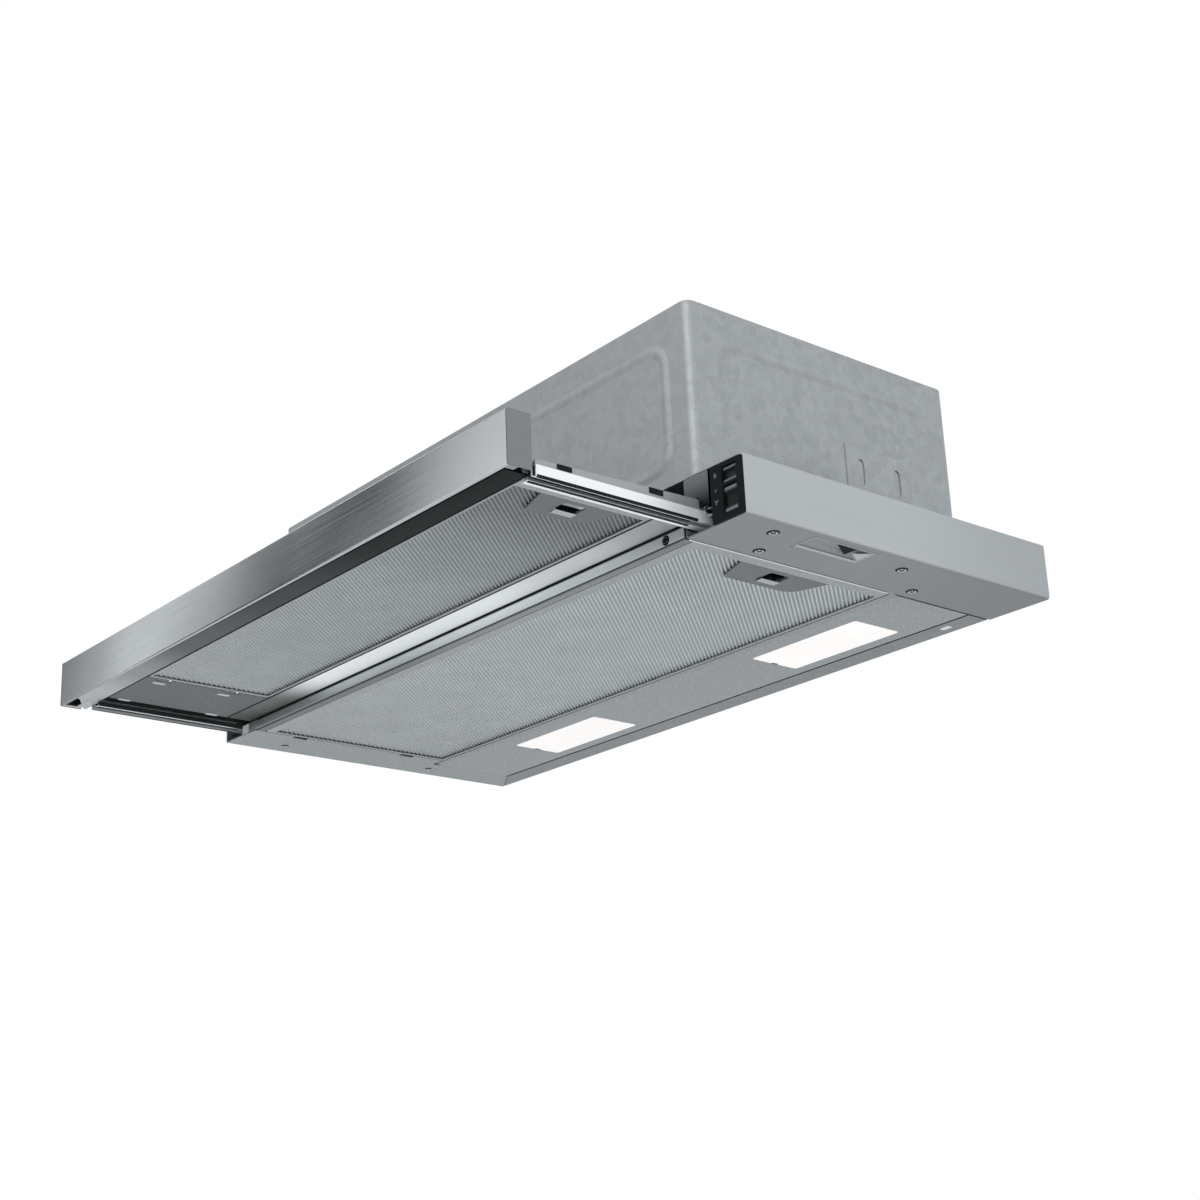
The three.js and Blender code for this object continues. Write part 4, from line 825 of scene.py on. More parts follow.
def plate(outline: np.ndarray, centre: tuple, normal: tuple, height: float, crown: float = 0.0) -> tuple:
    """A closed plate on a surface, its front edge drawn in by a crown.

    Rings of the outline are scaled about its middle: back, front edge, crowned front.

    Args:
        outline: rows of two coordinates along the first two rows of basis(normal).
        centre: where the outline's origin lies.
        normal: direction out of the surface.
        height: thickness along the normal.
        crown: width and depth of the slope round the front edge.

    Returns:
        Vertices and faces.
    """
    outline = np.asarray(outline, float)
    middle, count = outline.mean(0), len(outline)
    reach = np.linalg.norm(outline - middle, axis=1, keepdims=True)
    drawn_in = middle + (outline - middle) * (1 - crown / reach)
    rings = ((outline, 0.0), (outline, height - crown), (drawn_in, height))
    local = np.concatenate([np.column_stack([ring, np.full(count, level)]) for ring, level in rings])
    faces = grid_faces(len(rings), count, closed=True).tolist()
    faces.append(list(range(count))[::-1])
    faces.append(list(range(2 * count, 3 * count)))
    return local @ basis(normal) + np.asarray(centre, float), faces


def rounded(width: float, length: float, radius: float, steps: int = 5) -> np.ndarray:
    """Outline of a rounded rectangle: a quarter circle about each of its four corner centres.

    Args:
        width: its first size.
        length: its second size.
        radius: radius of its corners.
        steps: points in each corner.

    Returns:
        Rows of two coordinates about the origin, counterclockwise.
    """
    turn = np.linspace(0, np.pi / 2, steps)
    corners = [(1, 1), (-1, 1), (-1, -1), (1, -1)]
    arcs = [
        np.column_stack([np.cos(turn + k * np.pi / 2), np.sin(turn + k * np.pi / 2)]) * radius
        + [sx * (width / 2 - radius), sy * (length / 2 - radius)]
        for k, (sx, sy) in enumerate(corners)
    ]
    return np.concatenate(arcs)


def bead(path: np.ndarray, centre: tuple, normal: tuple, width: float, height: float) -> tuple:
    """A pressed bead along a closed path on a wall.

    Across the path its height is half a cosine wave; a flat strip closes it behind.

    Args:
        path: rows of two coordinates along the first two rows of basis(normal).
        centre: where the path's origin lies.
        normal: direction out of the wall.
        width: the bead's width.
        height: its height.

    Returns:
        Vertices and faces.
    """
    sunk = -0.1 * MM
    path = np.asarray(path, float)
    ahead = np.roll(path, -1, 0) - np.roll(path, 1, 0)
    across = np.column_stack([ahead[:, 1], -ahead[:, 0]])
    across /= np.linalg.norm(across, axis=1, keepdims=True)
    share = np.linspace(-1, 1, 7)
    side = np.concatenate([share, [1.0, -1.0]])
    rise = np.concatenate([(1 + np.cos(np.pi * share)) / 2 * height, [sunk, sunk]])
    flat = path[:, None] + side[None, :, None] * across[:, None] * width / 2
    local = np.concatenate([flat, np.broadcast_to(rise[None, :, None], flat.shape[:2] + (1,))], -1)
    local = np.concatenate([local, local[:1]])
    faces = grid_faces(len(local), len(side), closed=True)
    return local.reshape(-1, 3) @ basis(normal) + np.asarray(centre, float), faces


def cross_share(x: np.ndarray, y: np.ndarray) -> np.ndarray:
    """How deep points of a head lie in its cross: full inside each arm, falling off at its sides.

    Args:
        x: shares of the radius along one arm.
        y: shares of the radius along the other.

    Returns:
        Values from 0 to 1.
    """
    half_width, side, half_length, end = 0.36, 0.08, 0.8, 0.1
    low, high = np.minimum(np.abs(x), np.abs(y)), np.maximum(np.abs(x), np.abs(y))
    return np.minimum(np.clip((half_width - low) / side, 0, 1), np.clip((half_length - high) / end, 0, 1))


def screw_head(centre: tuple, normal: tuple, radius: float, height: float) -> tuple:
    """A domed head with a cross recess.

    Height is a dome over the radius less a smooth-edged cross. The rim drops to the seat.

    Args:
        centre: middle of its seat.
        normal: direction out of the seat.
        radius: its radius.
        height: its height.

    Returns:
        Vertices and faces.
    """
    sides, rings, last_ring, rim, recess = 40, 16, 0.97, 0.25, 0.75
    share = np.concatenate([np.linspace(0.0, last_ring, rings), [1.0, 1.0]])
    turn = np.linspace(0, 2 * np.pi, sides, endpoint=False)
    ring, angle = np.meshgrid(share, turn, indexing="ij")
    x, y = ring * np.cos(angle), ring * np.sin(angle)
    dome = height * (rim + (1 - rim) * np.sqrt(np.clip(1 - ring**2, 0, 1)))
    z = dome - cross_share(x, y) * height * recess
    z[-1] = 0.0
    local = np.stack([x * radius, y * radius, z], -1).reshape(-1, 3)
    faces = grid_faces(len(share), sides, closed=True).tolist()
    faces.append(list(range((len(share) - 1) * sides, len(share) * sides))[::-1])
    return local @ basis(normal) + np.asarray(centre, float), faces


def convex_cut(polygon: np.ndarray, start: np.ndarray, direction: np.ndarray) -> tuple:
    """Where parallel lines enter and leave a convex outline.

    Each side of the outline is a half plane; a line is inside while it is inside all of them.

    Args:
        polygon: corners in counterclockwise order.
        start: a point of each line.
        direction: the lines' common direction.

    Returns:
        Distances along each line at entry and exit; exit is below entry where a line misses.
    """
    parallel = 1e-12
    enter = np.full(len(start), -np.inf)
    leave = np.full(len(start), np.inf)
    for a, b in zip(polygon, np.roll(polygon, -1, 0)):
        inward = np.array([a[1] - b[1], b[0] - a[0]])
        speed = direction @ inward
        gap = (start - a) @ inward
        reach = -gap / speed if abs(speed) > parallel else np.where(gap >= 0, -np.inf, np.inf)
        if speed > 0:
            enter = np.maximum(enter, reach)
        elif speed < 0:
            leave = np.minimum(leave, reach)
        else:
            leave = np.where(gap < 0, -np.inf, leave)
    return enter, leave


# ---------------------------------------------------------------- sub-assemblies
@dataclass
class Assembly:
    """A sub-assembly, with the workshop that makes its pieces."""

    shop: Workshop

    def pad(
        self, name: str, size: tuple, corner: float, centre: tuple, normal: tuple, height: float,
        crown: float = 0.0, steps: int = 4, look: Finish = SHADOW_GAP, slot: str = "black_plastic",
        body: str = "canopy",
    ) -> None:
        """Builds a rounded rectangular plate on a surface.

        Args:
            name: the piece's name.
            size: its two sizes along the first two rows of basis(normal).
            corner: radius of its corners.
            centre: middle of its seat.
            normal: direction out of the surface.
            height: its thickness.
            crown: slope round its front edge.
            steps: points in each corner.
            look: its finish.
            slot: the record's material slot.
            body: the body that carries it.
        """
        shape = plate(rounded(*size, corner, steps), centre, normal, height, crown)
        self.shop.make(name, shape, look, body, slot)

    def strip(
        self, name: str, x: tuple, y: tuple, z: float, height: float = 0.15 * MM, **finish: object
    ) -> None:
        """Builds a rounded strip that faces down, its edge drawn in by a third of its height.

        Args:
            name: the piece's name.
            x: its limits from left to right.
            y: its limits from front to rear.
            z: height of its seat.
            height: its thickness.
            finish: look, slot and body, where they aren't the usual ones.
        """
        share = 0.22  # of the narrower size, taken by a corner
        size = (y[1] - y[0], x[1] - x[0])
        centre = ((x[0] + x[1]) / 2, (y[0] + y[1]) / 2, z)
        self.pad(name, size, min(size) * share, centre, DOWN, height, height / 3, **finish)


@dataclass
class GreaseFilter(Assembly):
    """The folded mesh pack of one grease filter, cut round its finger pull."""

    name: str
    look: Knitted
    pitch: float = 2.7 * MM
    fold: float = 0.95 * MM
    samples: int = 12  # rows of vertices in each fold
    corner: float = 14 * MM
    margin: float = 0.5 * MM
    flare: float = 2 * MM
    taper: float = 0.33495  # how much each side of the pull narrows per metre
    inset: float = 1e-7  # keeps the first and the last row inside the pack
    shortest: float = 1e-6  # a shorter cut by the pull is none
    merge: float = 2e-6

    def pull_outline(self) -> np.ndarray:
        """Outline of the finger-pull plate, widened to the frame's side.

        Returns:
            Rows of x and y, counterclockwise.
        """
        low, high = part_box(self.name + "_latch_plate")
        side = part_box(self.name + "_mesh")[1].x
        inner, middle = low.x - self.margin, (low.y + high.y) / 2
        half = (high.y - low.y) / 2 + self.margin
        near = half - self.taper * (side - low.x)
        turn = np.linspace(math.radians(180), math.radians(110), 9)
        stretch, offset = 1.1, 1.35
        centre = (inner + self.corner, middle + near - self.corner * offset)
        arc = np.stack([np.cos(turn), stretch * np.sin(turn)], -1) * self.corner + centre
        far = (side + self.margin, half + self.flare)
        ring = [(inner, middle - near), (far[0], middle - far[1]), (far[0], middle + far[1])]
        return np.concatenate([np.array(ring), arc[::-1]])

    def build(self) -> None:
        """Builds the pack: z of each face is a cosine of the distance across the folds."""
        low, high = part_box(self.name + "_mesh")
        across = np.array([math.cos(self.look.lean), math.sin(self.look.lean)])
        lengthwise = np.array([-across[1], across[0]])
        rectangle = np.array([[low.x, low.y], [high.x, low.y], [high.x, high.y], [low.x, high.y]])
        reach = rectangle @ across
        count = int(np.ceil((reach.max() - reach.min()) / self.pitch * self.samples)) + 1
        u = np.linspace(reach.min() + self.inset, reach.max() - self.inset, count)
        start = u[:, None] * across
        v0, v1 = convex_cut(rectangle, start, lengthwise)
        pull = self.pull_outline()
        enter, leave = convex_cut(pull, start, lengthwise)
        spread = pull @ across
        tip = np.where(u <= spread.min(), *(pull[[spread.argmin(), spread.argmax()]] @ lengthwise))
        crosses = (leave > enter + self.shortest) & (u > spread.min()) & (u < spread.max())
        enter = np.clip(np.where(crosses, enter, tip), v0, v1)
        leave = np.clip(np.where(crosses, leave, tip), v0, v1)
        wave = self.fold * (1 - np.cos(2 * np.pi * u / self.pitch)) / 2
        front, back = low.z + wave, high.z - self.fold + wave
        corners = [(v0, front), (enter, front), (enter, back), (v0, back)]
        corners += [(leave, front), (v1, front), (v1, back), (leave, back)]
        columns = [np.column_stack([start + v[:, None] * lengthwise, z]) for v, z in corners]
        row = len(columns)
        base = np.arange(count - 1)[:, None] * row
        faces = []
        for first in (0, 4):
            for k in range(4):
                a, b = first + k, first + (k + 1) % 4
                quads = np.column_stack([base + a, base + b, base + row + b, base + row + a])
                beside_pull = (first, k) in ((0, 1), (4, 3))
                faces.append(quads[crosses[:-1] | crosses[1:]] if beside_pull else quads)
        shape = (np.stack(columns, 1).reshape(-1, 3), np.concatenate(faces))
        name = self.name + "_folded_mesh"
        piece = self.shop.make(name, shape, self.look, self.name, "filter_mesh", self.merge)
        # The mark is the depth within a fold, where the finish paints shade.
        self.shop.mark(piece, lambda place: (place[:, 2] - low.z) / self.fold)
        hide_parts(self.name + "_mesh")


@dataclass
class Screws(Assembly):
    """The canopy's visible screws, each head on a dark plate that paints the shade of its dimple."""

    height: float = 0.9 * MM
    cover: tuple = ((284.2, -241.8), (257.2, -227.2), (282.8, -127.0), (258.6, -90.3))  # in mm
    strip_left: tuple = ((-281.0, -236.0), (-281.0, -94.0))  # in mm
    lip: tuple = (231 * MM, -34 * MM)  # x and z
    lid_inset: float = 7 * MM
    lid_sunk: float = 0.25 * MM
    radii: tuple = (3.1 * MM, 2.2 * MM, 2.4 * MM, 2.6 * MM)
    dimple: float = 1.35  # half a dimple's width, as a share of the head's radius; the dimple is a dark plate of painted shade
    dimple_height: float = 0.06 * MM
    rim: tuple = (0.84, 0.94)  # shares of the radius between which the head's colour is painted dark as shade at its rim

    def build(self) -> None:
        """Builds the heads of the cover, the strip, the lip and the connection box's lid."""
        under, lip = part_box("right_cover")[0].z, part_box("filter_front_lip")[0].y
        for group, spots, radius in zip(("cover", "strip"), (self.cover, self.strip_left), self.radii):
            for i, (x, y) in enumerate(spots):
                self.head(f"{group}_screw_{i + 1}", (x * MM, y * MM, under), DOWN, radius)
        self.head("lip_screw", (self.lip[0], lip, self.lip[1]), FORWARD, self.radii[2], DARK_SCREW)
        low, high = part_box("connection_box_lid")
        x, y = ((a + self.lid_inset, b - self.lid_inset) for a, b in ((low.x, high.x), (low.y, high.y)))
        for i, (right, rear) in enumerate(((0, 0), (1, 0), (1, 1), (0, 1))):
            place = (x[right], y[rear], high.z - self.lid_sunk)
            self.head(f"lid_screw_{i + 1}", place, UP, self.radii[3])

    def head(
        self, name: str, place: tuple, normal: tuple, radius: float, look: Finish = SCREW_METAL
    ) -> None:
        """Builds one head on a dark plate that paints the shade of its dimple.

        Args:
            name: the head's name.
            place: middle of its seat.
            normal: direction out of the metal.
            radius: its radius.
            look: its finish.
        """
        wide, corner = 2 * self.dimple * radius, (self.dimple - 0.001) * radius
        # The dark plate under the head paints the shade of its dimple.
        self.pad(
            name + "_dimple", (wide, wide), corner, place, normal, self.dimple_height,
            steps=9, slot="dark_steel",
        )
        shape = screw_head(place, normal, radius, self.height)
        piece = self.shop.make(name, shape, look, "canopy", "bright_steel")
        rows = basis(normal)

        def depth(places: np.ndarray) -> np.ndarray:
            """How much painted shade each place, a row of three, gets: the larger of its depth in the head's
            cross and its nearness to the rim.
            """
            local = (places - np.asarray(place)) @ rows.T / radius
            rim = (np.linalg.norm(local[:, :2], axis=1) - self.rim[0]) / (self.rim[1] - self.rim[0])
            return np.maximum(cross_share(local[:, 0], local[:, 1]), np.clip(rim, 0, 1))

        self.shop.mark(piece, depth)


@dataclass
class Rocker(Assembly):
    """A rocker: a cushion hollowed between its two ends, in the place of the solid of its name."""

    name: str
    body: str
    bulge: float = 2.4 * MM
    steps: int = 26
    squareness: int = 8
    softness: float = 0.35
    floor: float = 0.3  # share of the bulge left in the middle of the hollow
    curve: float = 1.6
    painted_highlight: tuple = (0.8, 0.13)  # place and width of the painted highlights along the rocker's ridges, as shares of the half length
    painted_highlight_ends: tuple = (0.82, 0.2)  # where they end, as shares of the half width

    def build(self) -> None:
        """Height over the panel is a hollow along z times a cushion across both ways."""
        low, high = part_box(self.name)
        count, share = self.steps, np.linspace(-1, 1, self.steps)
        u, v = np.meshgrid(share, share, indexing="ij")
        cushion = ((1 - u**self.squareness) * (1 - v**self.squareness)) ** self.softness
        hollow = self.floor + (1 - self.floor) * np.abs(v) ** self.curve
        x = (low.x + high.x) / 2 + u * (high.x - low.x) / 2
        z = (low.z + high.z) / 2 + v * (high.z - low.z) / 2
        y = low.y + self.bulge * (1 - hollow * cushion)
        front, back = (np.stack([x, depth, z], -1).reshape(-1, 3) for depth in (y, np.full_like(y, high.y)))
        quads = grid_faces(count, count)
        grid = np.arange(count * count).reshape(count, count)
        rim = np.concatenate([grid[0, :-1], grid[:-1, -1], grid[-1, :0:-1], grid[:0:-1, 0]])
        after = np.roll(rim, -1)
        wall = np.column_stack([rim, after, after + count * count, rim + count * count])
        faces = np.concatenate([quads, quads[:, ::-1] + count * count, wall])
        shape = (np.concatenate([front, back]), faces)
        piece = self.shop.make(self.name + "_cap", shape, ROCKER_PLASTIC, self.body, "black_plastic")

        def painted_highlight(places: np.ndarray) -> np.ndarray:
            """How much painted highlight each place, a row of three, gets along the rocker's ridges: a bell
            along z, cut off along x.
            """
            along = np.abs(places[:, 2] - (low.z + high.z) / 2) / (high.z - low.z) * 2
            across = np.abs(places[:, 0] - (low.x + high.x) / 2) / (high.x - low.x) * 2
            bell = np.exp(-(((along - self.painted_highlight[0]) / self.painted_highlight[1]) ** 2))
            return bell * np.clip((self.painted_highlight_ends[0] - across) / self.painted_highlight_ends[1], 0, 1)

        self.shop.mark(piece, painted_highlight)
        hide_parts(self.name)


@dataclass
class Signs(Assembly):
    """Three plain signs beside the rockers: a lamp, a small fan and a large fan."""

    x: float = 276.8 * MM
    lamp: tuple = (-7.4 * MM, 1.5 * MM)  # z and radius
    neck: tuple = (0.8, 0.65, 0.5)  # the bulb's share of the radius, the neck's, its width
    fans: tuple = ((-17.4 * MM, 1.25 * MM), (-24.6 * MM, 1.9 * MM))
    hub: float = 0.22
    twist: float = 0.5
    height: float = 0.05 * MM

    def build(self) -> None:
        """Builds the signs as thin printed plates.

        The lamp's radius swells in a bell at its neck. A fan's is a squared cosine with three
        blades, twisted by its own share of the size.
        """
        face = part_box("control_panel")[0].y
        turn = np.linspace(0, 2 * np.pi, 72, endpoint=False)
        bulb, neck, width = self.neck
        swell = np.exp(-(((turn - 1.5 * np.pi) / width) ** 2))
        shapes = [("lamp_sign", self.lamp[0], turn, self.lamp[1] * (bulb + neck * swell))]
        for name, (z, size) in zip(("low_speed_sign", "high_speed_sign"), self.fans):
            blades = size * (self.hub + (1 - self.hub) * np.cos(1.5 * turn) ** 2)
            shapes.append((name, z, turn + self.twist * blades / size, blades))
        for name, z, angle, radius in shapes:
            outline = np.column_stack([radius * np.cos(angle), radius * np.sin(angle)])
            shape = plate(outline, (self.x, face, z), FORWARD, self.height)
            self.shop.make(name, shape, ICON_INK, "canopy", "pale_plastic")


@dataclass
class RailTrim(Assembly):
    """Black plates and strips that paint the shade in both drawer rails' notches and channels, and the left
    rail's bright bead.
    """

    clip: tuple = (11 * MM, 3.4 * MM, 2.2 * MM)  # length, rise and depth of the dark plates painting the shade in the notches
    notch_shade_y: tuple = (-382.5 * MM, -313 * MM)
    notch_shade_edge: tuple = (0.5 * MM, 0.2 * MM, 0.1 * MM)  # corner radius, crown, gap over the dark plate
    notch_shade_sunk: tuple = (0.8 * MM, 0.8)  # a length, and a share of the dark plate's depth
    slope: tuple = (-280 * MM, -403.8 * MM, 3.5 * MM)  # the flange falls this far from y to y
    front: float = 0.5 * MM  # from the rail's front end to its strips
    rear: float = -281 * MM
    wall_shade_spans: tuple = ((0.9 * MM, 4.0 * MM), (5.0 * MM, 7.9 * MM))  # from the rail's outer wall
    wall_shade_top: tuple = (7.2 * MM, 5.1 * MM)  # from the rail's underside, and the painted shade strip's height
    radius: float = 0.3 * MM  # corners of the seals and of the bead
    edge_shade: tuple = (7.8 * MM, 10.2 * MM)
    edge_shade_rise: float = 0.05 * MM
    under_shade: tuple = (-0.1 * MM, 1.3 * MM)
    under_shade_rise: float = 0.02 * MM
    foot_shade: tuple = (1.4 * MM, 0.2 * MM, 0.02 * MM, 0.14 * MM)  # width, radius, sunk, height
    bead: tuple = (118 * MM, 1.0 * MM)
    bead_place: tuple = (0.05 * MM, -343 * MM, 3.9 * MM)  # sunk, y, rise over the rail's underside
    bead_height: tuple = (0.5 * MM, 0.15 * MM)  # with its crown

    def build(self) -> None:
        """Builds the dark plates and strips that paint the shade in both rails, and the bead."""
        for step in (self.notch_shades, self.wall_shades, self.line):
            for side, sign in SIDES:
                step(side, sign)
        low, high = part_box("drawer_rail_left")
        sunk, y, rise = self.bead_place
        self.pad(
            "rail_bead_left", self.bead, self.radius, (high.x - sunk, y, low.z + rise), (1, 0, 0),
            *self.bead_height, 5, TAB_METAL, "bright_steel", "drawer",
        )

    def rail(self, side: str, sign: int) -> tuple:
        """A rail's lowest and highest corners, x of its outer wall, and the y limits of its strips."""
        low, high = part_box("drawer_rail_" + side)
        return low, high, (low.x if sign < 0 else high.x), (low.y + self.front, self.rear)

    def notch_shades(self, side: str, sign: int) -> None:
        """Builds the dark plates that fill the notches in a rail's flange and paint the shade behind them.

        Args:
            side: left or right.
            sign: the sign of the side's x.
        """
        _, high, outer, _ = self.rail(side, sign)
        length, rise, depth = self.clip
        start, end, drop = self.slope
        radius, crown, gap = self.notch_shade_edge
        x = outer - sign * self.notch_shade_sunk[0] - sign * depth * self.notch_shade_sunk[1]
        for i, y in enumerate(self.notch_shade_y):
            place = (x, y, high.z - drop * (start - y) / (start - end) - rise / 2 - gap)
            name, size = f"rail_notch_shade_{side}_{i + 1}", (length, rise)
            self.pad(name, size, radius, place, (sign, 0, 0), depth, crown, body="drawer")

    def wall_shades(self, side: str, sign: int) -> None:
        """Builds the dark strips between a rail's three walls, which paint the shade in its channels.

        Args:
            side: left or right.
            sign: the sign of the side's x.
        """
        low, _, outer, y = self.rail(side, sign)
        top, height = self.wall_shade_top
        for i, span in enumerate(self.wall_shade_spans):
            x = sorted(outer - sign * edge for edge in span)
            place = ((x[0] + x[1]) / 2, (y[0] + y[1]) / 2, low.z + top)
            size = (y[1] - y[0], x[1] - x[0])
            name = f"rail_wall_shade_{side}_{i + 1}"
            self.pad(name, size, self.radius, place, DOWN, height, steps=3, body="drawer")

    def line(self, side: str, sign: int) -> None:
        """Builds the dark strips along a rail that paint its shade: on its lip's edge, at its outer wall's
        foot and under that wall.

        Args:
            side: left or right.
            sign: the sign of the side's x.
        """
        low, _, outer, y = self.rail(side, sign)
        edge_shade, under_shade = (sorted(outer - sign * edge for edge in span) for span in (self.edge_shade, self.under_shade))
        wide, radius, sunk, height = self.foot_shade
        self.strip("rail_edge_shade_" + side, edge_shade, y, low.z + self.edge_shade_rise, body="drawer")
        place, size = (outer - sign * sunk, (y[0] + y[1]) / 2, low.z + wide / 2), (y[1] - y[0], wide)
        self.pad("rail_foot_shade_" + side, size, radius, place, (sign, 0, 0), height, body="drawer")
        self.strip("rail_under_shade_" + side, under_shade, y, low.z + self.under_shade_rise, body="drawer")


@dataclass
class EdgeTrim(Assembly):
    """Bright spring tabs and hems; black strips paint the shadow in seams between the lower side's sheets."""

    tab: tuple = (3.6 * MM, 10 * MM)
    tabs: tuple = ((-208.3, -389.0), (-208.8, -334.4), (-259.6, -391.0), (-259.6, -316.0))  # in mm
    clip: tuple = ((216 * MM, 224 * MM), (-14.5 * MM, -9.5 * MM))
    seam: float = 0.12 * MM  # height of the drawer's strips of painted shadow
    bar_seam: tuple = (9 * MM, 1.4 * MM, 0.3 * MM)  # from the bar's end and front, rise
    seam_widths: tuple = (1 * MM, 1.2 * MM)  # of the profile's and of the crossbar's
    lip_seam: tuple = (14 * MM, -1.1 * MM, 1 * MM)  # from the lip's end, and before and behind it
    lip_seam_height: tuple = (0.5 * MM, 0.45 * MM)  # rise over the lip, height
    lamp_seams: tuple = (0.1 * MM, -0.9 * MM)  # from the lamp plate's front and rear
    lamp_seam: tuple = (0.8 * MM, 0.1 * MM)  # width and height
    hem: tuple = (0.1 * MM, 1.3 * MM)
    hem_ends: tuple = (2 * MM, -101 * MM)  # from the cover's front, and y of its rear end
    hem_height: float = 0.35 * MM
    lip_tab: tuple = (8.6 * MM, 7.0 * MM)
    lip_tab_edge: tuple = (0.5 * MM, 6.6 * MM, 0.2 * MM)  # corner radius, place, height

    def build(self) -> None:
        """Builds the tabs, the seams and the hems."""
        self.springs()
        self.seams()
        self.hems()

    def springs(self) -> None:
        """Bright spring tabs in the drawer's plate, and one on the canopy's rear strip."""
        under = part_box("drawer_frame")[0].z
        for i, place in enumerate(self.tabs):
            x, y = (around(middle * MM, size / 2) for middle, size in zip(place, self.tab))
            self.strip(f"spring_tab_{i + 1}", x, y, under, look=TAB_METAL, slot="bright_steel", body="drawer")
        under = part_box("rear_filler_strip")[0].z
        self.strip("strip_clip", *self.clip, under, look=CHROME, slot="bright_steel")

    def seams(self) -> None:
        """Thin black strips painting the shadow in the drawer's and lamp plate's seams, and on top of the
        lip.
        """
        (bar, bar_end), (profile, profile_end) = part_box("front_bar"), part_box("drawer_front_profile")
        (cross, cross_end), (lip, lip_end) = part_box("drawer_rear_crossbar"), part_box("filter_front_lip")
        (lamp, lamp_end), (x, y, rise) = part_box("lamp_plate"), self.bar_seam
        rear, front = profile_end.y - self.seam_widths[0], cross.y + self.seam_widths[1]
        for name, x, y, z in (
            ("bar", (bar.x + x, bar_end.x), (bar.y + y, profile.y), profile.z + rise),
            ("profile", (profile.x, profile_end.x), (rear, profile_end.y), profile.z),
            ("crossbar", (cross.x, cross_end.x), (cross.y, front), cross.z),
        ):
            self.strip(name + "_seam", x, y, z, self.seam, body="drawer")
        (x, before, behind), (rise, height) = self.lip_seam, self.lip_seam_height
        y = (lip.y + before, lip.y + behind)
        self.strip("lip_seam", (lip.x + x, lip_end.x), y, lip_end.z + rise, height)
        (first, last), (wide, height) = self.lamp_seams, self.lamp_seam
        for end, y in (("front", lamp.y + first), ("rear", lamp_end.y + last)):
            self.strip("lamp_seam_" + end, (lamp.x, lamp_end.x), (y, y + wide), lamp.z, height)

    def hems(self) -> None:
        """Bright folded edge along the inner side of the cover, and a pale tab at the lip's left end."""
        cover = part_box("right_cover")[0]
        x = tuple(cover.x + edge for edge in self.hem)
        y = (cover.y + self.hem_ends[0], self.hem_ends[1])
        self.strip("cover_hem", x, y, cover.z, self.hem_height, look=CHROME, slot="bright_steel")
        (low, high), (radius, x, height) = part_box("filter_front_lip"), self.lip_tab_edge
        place, finish = (low.x + x, low.y, (low.z + high.z) / 2), (PALE_PLASTIC, "pale_plastic")
        self.pad("lip_end_tab", self.lip_tab, radius, place, FORWARD, height, 0.0, 4, *finish)


@dataclass
class BarEnd(Assembly):
    """What closes the front bar's left end from below: web, flange, edge, mitre, back and screw."""

    wall: float = 1.4 * MM
    inset: float = 1.6 * MM  # from the end cap's outer face
    web: tuple = (1 * MM, 7 * MM, 0.8 * MM)  # reach under the profile, rise over the bar, height
    flange: tuple = (0.5 * MM, 0.9 * MM, 0.7 * MM)  # the same three
    flange_depth: float = 4 * MM
    edge: tuple = (2.6 * MM, 0.7 * MM, 0.6 * MM)  # width, rise over the bar, height
    mitre: tuple = (1.8 * MM, -2.5 * MM, -420 * MM)  # from the cap, from the profile's rear, far y
    mitre_height: float = 0.6 * MM
    back: tuple = (22 * MM, 0.5 * MM, 0.6 * MM)  # length, corner radius, height
    back_move: tuple = (1.5 * MM, 0.6 * MM, 0.9 * MM)  # from the bar's inner rear corner
    screw: tuple = (15 * MM, 5 * MM, 6.2 * MM)  # from the cap, the bar's front wall and its underside
    screw_size: tuple = (3.0 * MM, 1.6 * MM)  # radius and height

    def build(self) -> None:
        """Builds the six pieces. The profile's end is a plate with one slanted side."""
        cap, (bar, bar_end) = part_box("bar_end_cap_left")[0].x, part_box("front_bar")
        profile, profile_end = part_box("drawer_front_profile")
        left, y = cap + self.inset, (bar.y + self.wall, bar_end.y - self.wall)
        pale = {"look": PALE_PLASTIC, "slot": "pale_plastic", "body": "drawer"}
        # The web and the back are dark plates that paint the shade inside the bar's hollow end.
        dark = {"slot": "dark_steel", "body": "drawer"}
        under, rise, height = self.web
        self.strip("bar_end_web", (left, profile.x + under), y, bar.z + rise, height, **dark)
        under, rise, height = self.flange
        near, depth = profile.x + under, (y[1] - self.flange_depth, y[1])
        self.strip("bar_end_flange", (left, near), depth, bar.z + rise, height, **pale)
        wide, rise, height = self.edge
        self.strip("bar_end_edge", (left, left + wide), y, bar.z + rise, height, **pale)
        far, rear, slant = cap + self.mitre[0], profile_end.y, self.mitre[1]
        corner = ((rear, near), (rear, far), (rear + slant, far), (self.mitre[2], near))
        mitre = plate(corner, (0, 0, profile.z + self.mitre_height), DOWN, self.mitre_height)
        self.shop.make("profile_end", mitre, PROFILE_METAL, "drawer", "bright_steel")
        (x, inward, up), (tall, radius, height) = self.back_move, self.back
        wide = profile.x - cap
        place = (cap + wide / 2 + x, y[1] + inward, bar.z + tall / 2 + up)
        self.pad("bar_end_back", (wide, tall), radius, place, FORWARD, height, steps=5, **dark)
        x, inward, up = self.screw
        head = screw_head((cap + x, y[0] + inward, bar.z + up), DOWN, *self.screw_size)
        self.shop.mark(self.shop.make("bar_end_screw", head, DARK_SCREW, "drawer", "dark_steel"))


